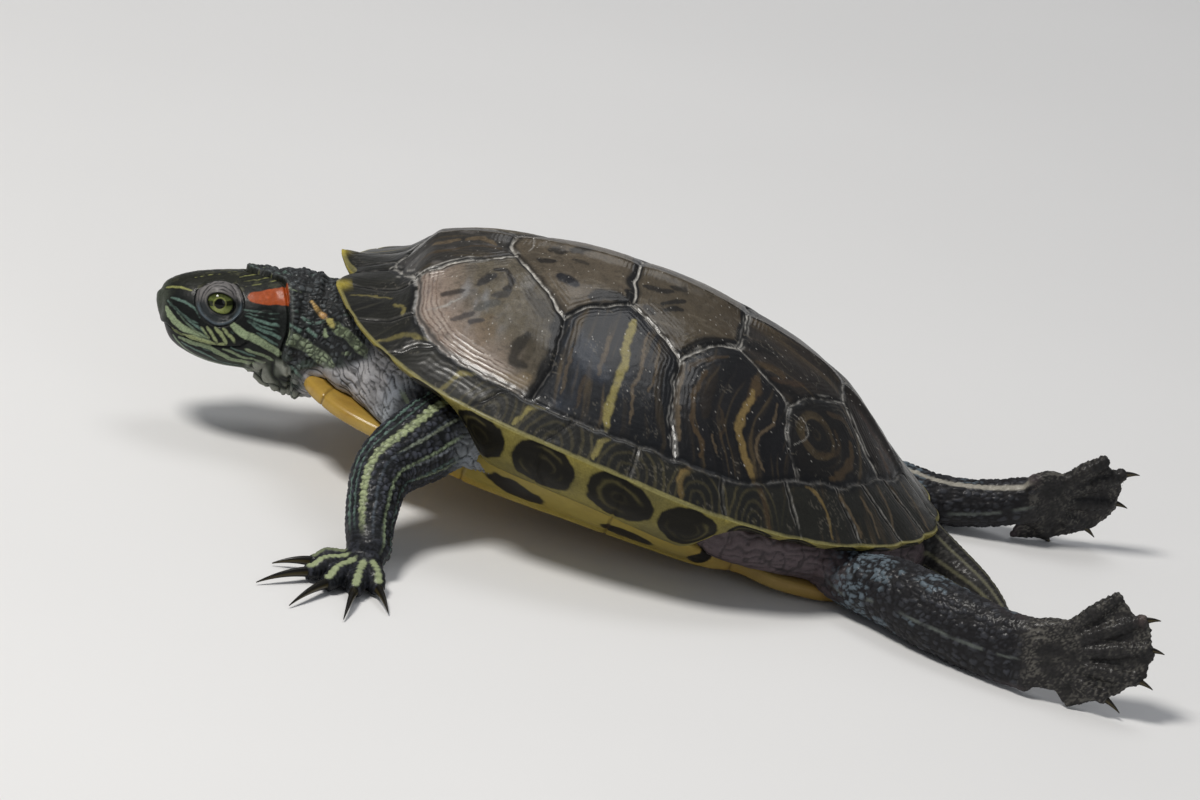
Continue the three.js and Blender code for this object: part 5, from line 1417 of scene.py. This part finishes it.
    for name, foot in FEET.items():
        tone, move = foot_looks(foot, name.startswith("fore"), p, tone, move, fleck)

    # Head.
    hq, hp = q[in_head], p[in_head]
    relief, ahead, collar, mouth, gap, in_mouth, ear, nostril = head_relief(hq, hp)
    back_move = move[in_head]
    move[in_head] = mixed(back_move, 0, ahead) + relief * smooth(-27, -24, hq[:, 0])
    part = tone[in_head]
    part = head_colours(part, hq, hp, ahead, gap, in_mouth, ear, nostril)
    p = p + n * move[:, None]
    q = to_head(p)
    hq, lids, ring, disc = open_eyes(q[in_head], p[in_head])
    p[in_head] = from_head(hq)
    wave = lid_wave(disc, hp)
    # Painted highlight along the crest of the collar's fold.
    lay(part, bell(hq[:, 0] - collar, -0.75, 0.3) * smooth(-12, -8, hq[:, 2]) * 0.45, srgb(104, 110, 106))
    lay(part, lids, srgb(44, 48, 50))
    # The upper lid is paler grey, and lighter still with a painted sheen of the wet lid.
    upper = smooth(-0.6, 2.2, hq[:, 2] - EYE_AT[2])
    lay(part, lids * upper * 0.85, srgb(116, 113, 112))
    lay(part, lids * smooth(0, 0.8, noise(hp, 1.6, 98, 2)) * 0.35, srgb(134, 130, 126))
    lay(part, lids * smooth(-0.1, -0.7, wave) * smooth(1.15, 1.35, ring) * 0.75, INK)
    lay(part, lids * bell(disc, 0.93, 0.05) * smooth(1, -2, hq[:, 2] - EYE_AT[2]) * 0.8, srgb(86, 98, 106))
    lay(part, lids * bell(ring, 1.16, 0.05) * 0.35, srgb(104, 104, 98))
    lay(part, bell(disc, 1.04, 0.035) * 0.8, srgb(12, 14, 14))
    lay(part, lids * bell(ring, 1.03, 0.09) * 0.95, srgb(8, 9, 9))
    # Painted shade: the skin tucked into the lid opening round the eyeball is near black.
    lay(part, smooth(1.01, 0.97, ring), srgb(5, 5, 5))
    tone[in_head] = part
    rough[in_head] = mixed(0.48, 0.42, ahead)
    tone *= (1 + 0.16 * fleck)[:, None]
    p[:, 2] = np.maximum(p[:, 2], 0)
    place_points(mesh, p)
    paint(mesh, np.clip(tone, 0, 1), rough + 0.06 * cloud)
    return mesh


def head_colours(tone, q, p, ahead, gap, in_mouth, ear, nostril):
    f, u = q[:, 0], q[:, 2]
    side = np.stack([f, np.abs(q[:, 1]), u], 1)
    skin = np.tile(srgb(17, 20, 19), (len(q), 1))
    lay(skin, smooth(8.5, 12, u), srgb(35, 36, 29))
    lay(skin, smooth(0.1, 0.7, noise(p, 2.0, 81, 3)) * smooth(7, 10, u) * 0.6, srgb(84, 84, 62))
    lay(skin, smooth(15, 18.6, f) * smooth(-2, 3, u) * 0.6, srgb(84, 90, 78))
    lay(skin, smooth(-9, -13, u) * 0.35, srgb(78, 88, 68))
    _, border, name = scales(p, 1.1, 90)
    lay(skin, smooth(0.05, 0.2, border) * name * smooth(-4, -12, f) * 0.35, srgb(46, 52, 48))
    wander = side + np.stack([noise(p, 3.5, 82 + k, 2) for k in range(3)], 1) * 0.3
    wander += np.stack([noise(p, 1.0, 108 + k) for k in range(3)], 1) * 0.16
    for line, wide, colour, strength in HEAD_LINES:
        away, along = reach(wander, line, wide + 1.5)
        dashed = smooth(-0.35, 0.0, noise(p, 1.8, 86, 2)) if wide < 0.25 else 1.0
        edge = wide * (1 - 0.45 * (2 * along - 1) ** 6)
        lay(skin, strength * dashed * smooth(edge + 0.16, edge - 0.12, away), colour)
        lay(skin, bell(away, edge + 0.34, 0.2) * 0.6, srgb(10, 12, 11))
    lay(skin, smooth(0.12, 0.03, border) * 0.35, srgb(12, 14, 13))
    lay(skin, smooth(0.2, 0.8, noise(p, 0.9, 111, 2)) * 0.3, srgb(24, 28, 26))
    low, high = hermite(RED_LOW, f), hermite(RED_HIGH, f)
    ragged = 0.22 * noise(p, 2.4, 87, 2)
    patch = smooth(-0.15, 0.2, u - low + ragged) * smooth(-0.15, 0.2, high - u + ragged)
    patch = patch * smooth(-5.9, -6.5, f) * (side[:, 1] > 5)
    lay(skin, patch * 0.97, RED)
    # Painted highlights: paler orange flecks over the red patch. The darker flecks after them are its own uneven
    # colour.
    lay(skin, patch * smooth(0.0, 0.7, noise(p, 1.0, 88, 2)) * 0.4, srgb(196, 92, 50))
    lay(skin, patch * smooth(0.2, 0.9, noise(p, 1.6, 89, 2)) * 0.3, srgb(120, 44, 18))
    bags = np.abs(noise(p * [1, 1.3, 0.45], 3.0, 57))
    bag = smooth(-10.5, -13, u) * smooth(-4, -8, f)
    lay(skin, bag * smooth(0.1, 0.45, bags) * 0.9, srgb(142, 144, 134))
    lay(skin, bag * smooth(0.14, 0.04, bags) * 0.9, INK)
    # Painted shade: the slit of the mouth and the nostril holes are near black.
    lay(skin, in_mouth * bell(gap, 0, 0.22) * 0.9, srgb(12, 13, 11))
    lay(skin, smooth(0.85, 0.45, nostril), srgb(6, 6, 6))
    lay(skin, bell(ear, 1, 0.1) * (side[:, 1] > 8) * 0.35, srgb(20, 24, 22))
    return mixed(tone, skin, ahead[:, None] ** 4)


def foot_looks(foot, fore, p, tone, move, fleck):
    """Scales over the toes and webs of one foot."""
    ankle, face = foot["ankle"], foot["face"]
    tips = np.vstack([foot["heel"], foot["toes"]])
    d = p - ankle
    out = np.linalg.norm(d, axis=1)
    far = np.max(np.linalg.norm(tips - ankle, axis=1)) + 4
    toward = unit(tips.mean(0) - ankle)
    on = smooth(far, far - 1, out) * smooth(-5, 1, d @ toward)
    on = on * (np.abs(d @ face) < 14)
    chosen = np.flatnonzero(on > 0)
    q, part, shift, weight = p[chosen], tone[chosen], move[chosen], on[chosen]
    r, lift = out[chosen], d[chosen] @ face
    first = unit(tips[0] - ankle)
    second = np.cross(face, first)
    turn = np.arctan2(d[chosen] @ second, d[chosen] @ first)
    ground = srgb(20, 21, 23) if fore else srgb(30, 29, 29)
    sheet = np.stack([r, turn * np.maximum(r, 6), lift * 0.5], 1)
    _, border, name = scales(sheet, 1.5 if fore else 1.7, 91, (1.2, 0.8, 1))
    look = np.tile(ground, (len(chosen), 1))
    lay(look, smooth(0.05, 0.3, border) * (0.2 + 0.6 * name), srgb(54, 56, 64) if fore else srgb(52, 50, 50))
    height = 0.2 * smooth(0.02, 0.3, border) - 0.1
    if not fore:
        lay(look, smooth(0.14, 0.04, border) * smooth(-0.4, 0.3, noise(q, 5, 93, 2)) * 0.6, srgb(112, 109, 102))
        height = height * 1.3
        pink = smooth(0.82, 0.98, r / far) * smooth(0, 0.4, noise(q, 6, 94))
        lay(look, pink * 0.6, srgb(118, 102, 98))
    up = face if face[2] > 0.5 else face * 0
    for k, tip in enumerate(foot["toes"]):
        line = np.array([mixed(ankle, tip, 0.22), mixed(ankle, tip, 0.55), mixed(ankle, tip, 0.8), tip])
        away, along = reach(q, line, 6)
        ridge = smooth(foot["toe"] * 1.5, foot["toe"] * 0.8, away)
        rows = np.sin(along * np.linalg.norm(tip - ankle) * 0.78 * 2 * np.pi / (2.0 if fore else 2.6))
        height = height + ridge * 0.16 * rows
        lay(look, ridge * smooth(0.2, -0.7, rows) * 0.45, INK)
        if fore:
            top_line = line + face * np.array([2.4, 3.4, 3.2, 2.2])[:, None]
            away, along = reach(q, top_line, 3)
            wide = 0.45 + 0.14 * rows
            lay(look, smooth(wide + 0.9, wide + 0.4, away) * (0.95 if k < 4 else 0.5), CREAM)
        elif k == len(foot["toes"]) - 1:
            over = q[:, 2] - mixed(ankle[2], tip[2], np.interp(along, [0, 0.33, 0.67, 1], [0.22, 0.55, 0.8, 1]))
            edge = smooth(3.4, 2.9, away) * smooth(1.9, 2.5, over) * smooth(-0.6, 0.2, noise(q, 2.5, 115, 2))
            lay(look, edge * (along > 0.1) * 0.5, srgb(140, 137, 128))
    tone[chosen] = mixed(part, look, weight[:, None])
    move[chosen] = mixed(shift, height, weight)
    return tone, move


# ---------------------------------------------------------------- eyes and claws
def make_eye(side):
    points, quads = ball((0, 0, 0), (EYE_RADIUS,) * 3, rows=70, sides=96)
    points = points[:, [0, 2, 1]] * [1, 1, 1]
    out = points[:, 1] / EYE_RADIUS
    flat = np.hypot(points[:, 0], points[:, 2])
    points = points * (1 + 0.05 * smooth(0.78, 0.98, out))[:, None]
    spot = points * [1, side, 1] + EYE_AT * [1, side, 1]
    if side > 0:
        quads = quads[:, ::-1]
    mesh = mesh_of("eyeball", from_head(spot), quads)
    angle = np.arctan2(points[:, 2], points[:, 0])
    rays = noise(np.stack([np.cos(angle) * 9, np.sin(angle) * 9, flat * 0.8], 1), 1.1, 95, 2)
    tone = np.tile(srgb(86, 97, 50), (len(points), 1))
    lay(tone, smooth(-0.1, 0.7, rays) * 0.6, srgb(122, 130, 70))
    # Painted light and shade: the iris is lighter below and darker above, where the upper lid shades it.
    lay(tone, smooth(-0.3, -2.4, points[:, 2]) * 0.8, srgb(178, 188, 112))
    lay(tone, smooth(0.8, 2.4, points[:, 2]) * 0.7, srgb(36, 40, 22))
    lay(tone, smooth(0.1, 0.8, -rays) * 0.5, srgb(84, 92, 40))
    bar = smooth(0.95, 0.55, np.abs(points[:, 2] + 0.1 * rays)) * smooth(0.8, 1.6, flat)
    lay(tone, bar * 0.9, srgb(20, 22, 16))
    lay(tone, bell(flat, 1.75, 0.16) * 0.45, srgb(168, 170, 100))
    lay(tone, smooth(3.7, 4.2, flat), srgb(20, 22, 15))
    lay(tone, smooth(1.55, 1.4, flat), srgb(3, 3, 3))
    lay(tone, smooth(0.2, -0.1, out), srgb(20, 20, 18))
    paint(mesh, tone, np.full(len(points), 0.08))
    return mesh


def make_claws(foot):
    points, quads, sides, start = [], [], [], 0
    for root, direction, length, droop in claw_lines(foot):
        t = np.linspace(0, 1, 22)[:, None]
        line = root + direction * length * t + np.array([0, 0, -1.0]) * droop * t * t
        across = unit(np.array([-direction[1], direction[0], 0]))
        deep = unit(np.cross(across, unit(np.gradient(line, axis=0))))
        size = foot["claw"] * (1 - 0.9 * t**1.25)
        turn = np.linspace(0, 2 * np.pi, 24, endpoint=False)
        rings = (
            line[:, None]
            + (0.8 * size * np.cos(turn))[..., None] * across
            + (size * np.sin(turn))[..., None] * deep[:, None]
        )
        p, q = ringed(rings)
        middle = line[np.argmin(np.linalg.norm(p[:, None] - line[None], axis=2), axis=1)]
        off = unit(p - middle + 1e-6)
        sides.append(np.abs(off @ across))
        points.append(p)
        quads.append(q + start)
        start += len(p)
    p = np.vstack(points)
    tone = np.tile(srgb(22, 20, 17), (len(p), 1))
    lay(tone, smooth(0.8, 0.98, np.concatenate(sides)) * 0.45, srgb(96, 86, 54))
    lay(tone, smooth(0.1, 0.7, noise(p * [0.5, 0.5, 1], 1.2, 96, 2)) * 0.3, srgb(60, 52, 36))
    p[:, 2] = np.maximum(p[:, 2], 0)
    mesh = mesh_of("claws", p, np.vstack(quads))
    paint(mesh, tone, np.full(len(p), 0.26))
    return mesh


# ---------------------------------------------------------------- materials
def painted(name, grain, grain_mm, bump_mm, roughness_spread=0.1, specular=0.2, coat=None, coat_rough=0.2):
    material = bpy.data.materials.new(name)
    material.use_nodes = True
    nodes, links = material.node_tree.nodes, material.node_tree.links
    shader = nodes["Principled BSDF"]
    shader.inputs["Specular IOR Level"].default_value = specular
    tone = nodes.new("ShaderNodeVertexColor")
    tone.layer_name = "tone"
    rough = nodes.new("ShaderNodeVertexColor")
    rough.layer_name = "rough"
    spot = nodes.new("ShaderNodeTexCoord")
    speck = nodes.new("ShaderNodeTexNoise")
    speck.inputs["Scale"].default_value = 1000 / grain_mm
    speck.inputs["Detail"].default_value = 3
    links.new(spot.outputs["Object"], speck.inputs["Vector"])
    spread = nodes.new("ShaderNodeMapRange")
    spread.inputs["To Min"].default_value = 1 - grain
    spread.inputs["To Max"].default_value = 1 + grain
    links.new(speck.outputs["Fac"], spread.inputs["Value"])
    shade = nodes.new("ShaderNodeVectorMath")
    shade.operation = "SCALE"
    links.new(tone.outputs["Color"], shade.inputs[0])
    links.new(spread.outputs["Result"], shade.inputs["Scale"])
    links.new(shade.outputs[0], shader.inputs["Base Color"])
    worn = nodes.new("ShaderNodeMath")
    worn.operation = "MULTIPLY_ADD"
    links.new(speck.outputs["Fac"], worn.inputs[0])
    worn.inputs[1].default_value = roughness_spread
    gloss = nodes.new("ShaderNodeSeparateColor")
    links.new(rough.outputs["Color"], gloss.inputs["Color"])
    links.new(gloss.outputs["Red"], worn.inputs[2])
    if coat is None:
        links.new(gloss.outputs["Green"], shader.inputs["Coat Weight"])
    else:
        shader.inputs["Coat Weight"].default_value = coat
    links.new(worn.outputs[0], shader.inputs["Roughness"])
    bump = nodes.new("ShaderNodeBump")
    bump.inputs["Strength"].default_value = 0.6
    bump.inputs["Distance"].default_value = bump_mm * MM
    links.new(speck.outputs["Fac"], bump.inputs["Height"])
    links.new(bump.outputs["Normal"], shader.inputs["Normal"])
    shader.inputs["Coat Roughness"].default_value = coat_rough
    return material


shell_look = painted("shell_look", 0.4, 0.5, 0.1, 0.12, 0.12)
plastron_look = painted("plastron_look", 0.12, 0.7, 0.03)
skin_look = painted("skin_look", 0.3, 0.35, 0.06, 0.12, 0.16, 0.12)
eye_look = painted("eye_look", 0.12, 0.3, 0.0, 0.0, 0.1, 0.35, 0.04)
claw_look = painted("claw_look", 0.2, 0.6, 0.02, coat=0.1)

FLESH = ["trunk", "neck", "head", "lower_jaw", "tail"] + [
    f"{part}_{side}" for part in ("upper_arm", "forearm", "hand", "thigh", "shank", "foot")
    for side in ("left", "right")
]
add_piece("carapace_shell", make_carapace(), shell_look, ["carapace"])
add_piece("plastron_plate", make_plastron(), plastron_look, ["plastron"])
add_piece("skin_whole", make_skin(), skin_look, FLESH)
add_piece("eyeball_left", make_eye(1), eye_look, ["eye_left"])
add_piece("eyeball_right", make_eye(-1), eye_look, ["eye_right"])
for foot_name, foot in FEET.items():
    nodes = [f"claw_{foot_name}_{i + 1}" for i in range(len(foot["claws"]))]
    add_piece(f"claws_{foot_name}", make_claws(foot), claw_look, nodes)

# ---------------------------------------------------------------- floor, light and camera
def make_floor():
    material = bpy.data.materials.new("floor_look")
    material.use_nodes = True
    nodes, links = material.node_tree.nodes, material.node_tree.links
    shader = nodes["Principled BSDF"]
    shader.inputs["Roughness"].default_value = 0.75
    speck = nodes.new("ShaderNodeTexNoise")
    speck.inputs["Scale"].default_value = 40
    tint = nodes.new("ShaderNodeMapRange")
    tint.inputs["To Min"].default_value = 0.76
    tint.inputs["To Max"].default_value = 0.8
    links.new(speck.outputs["Fac"], tint.inputs["Value"])
    links.new(tint.outputs["Result"], shader.inputs["Base Color"])
    run = np.concatenate([[-3.0], np.linspace(1.6, 2.6, 14), [2.6]])
    bend = np.clip((run - 1.6) / 1.0, 0, 1)
    height = np.where(run < 1.6, 0, 1 - np.sqrt(np.clip(1 - bend**2, 0, 1)))
    height[-1] = 3.5
    wide = np.linspace(-4, 4, 9)
    points = np.stack([np.repeat(wide[None], len(run), 0), np.repeat(run[:, None], 9, 1),
                       np.repeat(height[:, None], 9, 1)], -1)
    i = np.arange(len(run) - 1)[:, None] * 9 + np.arange(8)[None]
    quads = np.stack([i, i + 1, i + 10, i + 9], -1).reshape(-1, 4)
    mesh = mesh_of("floor", points.reshape(-1, 3) * 1000 + [REST_AT, 0, 0], quads)
    mesh.materials.append(material)
    floor = bpy.data.objects.new("floor", mesh)
    bpy.context.scene.collection.objects.link(floor)


def add_light(name, place, aim, size, power, colour):
    light = bpy.data.lights.new(name, "AREA")
    light.shape = "DISK"
    light.size = size
    light.energy = power
    light.color = colour
    lamp = bpy.data.objects.new(name, light)
    lamp.location = place
    lamp.rotation_euler = (Vector(aim) - Vector(place)).to_track_quat("-Z", "Y").to_euler()
    bpy.context.scene.collection.objects.link(lamp)


def make_camera():
    camera = bpy.data.cameras.new("camera")
    camera.sensor_width = 36
    camera.lens = 251.1
    rig = bpy.data.objects.new("camera", camera)
    origin = np.array([-81.92, 0, 11.13]) * MM
    right = np.array([0.97955, 0.0847, 0.18265])
    up = np.array([-0.20108, 0.3583, 0.91166])
    view = np.array([-0.01184, 0.9297, -0.36803])
    place = origin - view * 2.5
    target = origin - right * 0.00038 + up * 0.0204
    back = unit(place - target)
    right = unit(np.cross(up, back))
    up = np.cross(back, right)
    for row in range(3):
        pass
    from mathutils import Matrix
    turn = Matrix(((right[0], up[0], back[0]), (right[1], up[1], back[1]), (right[2], up[2], back[2])))
    rig.rotation_mode = "QUATERNION"
    rig.rotation_quaternion = turn.to_quaternion()
    rig.location = place
    bpy.context.scene.collection.objects.link(rig)
    bpy.context.scene.camera = rig


make_floor()
add_light("key", (-0.75, -0.5, 1.5), (-0.08, 0, 0.03), 0.45, 21, (1.0, 0.97, 0.92))
add_light("fill", (1.2, -1.6, 0.8), (0, 0, 0.03), 1.2, 3.5, (0.9, 0.95, 1.0))
add_light("top", (0.1, 0.6, 1.8), (-0.05, 0, 0.03), 0.8, 5, (1.0, 1.0, 1.0))
world = bpy.data.worlds.new("studio")
world.use_nodes = True
world.node_tree.nodes["Background"].inputs["Color"].default_value = (0.9, 0.93, 1, 1)
world.node_tree.nodes["Background"].inputs["Strength"].default_value = 0.22
bpy.context.scene.world = world
bpy.context.scene.view_settings.view_transform = "Standard"
make_camera()
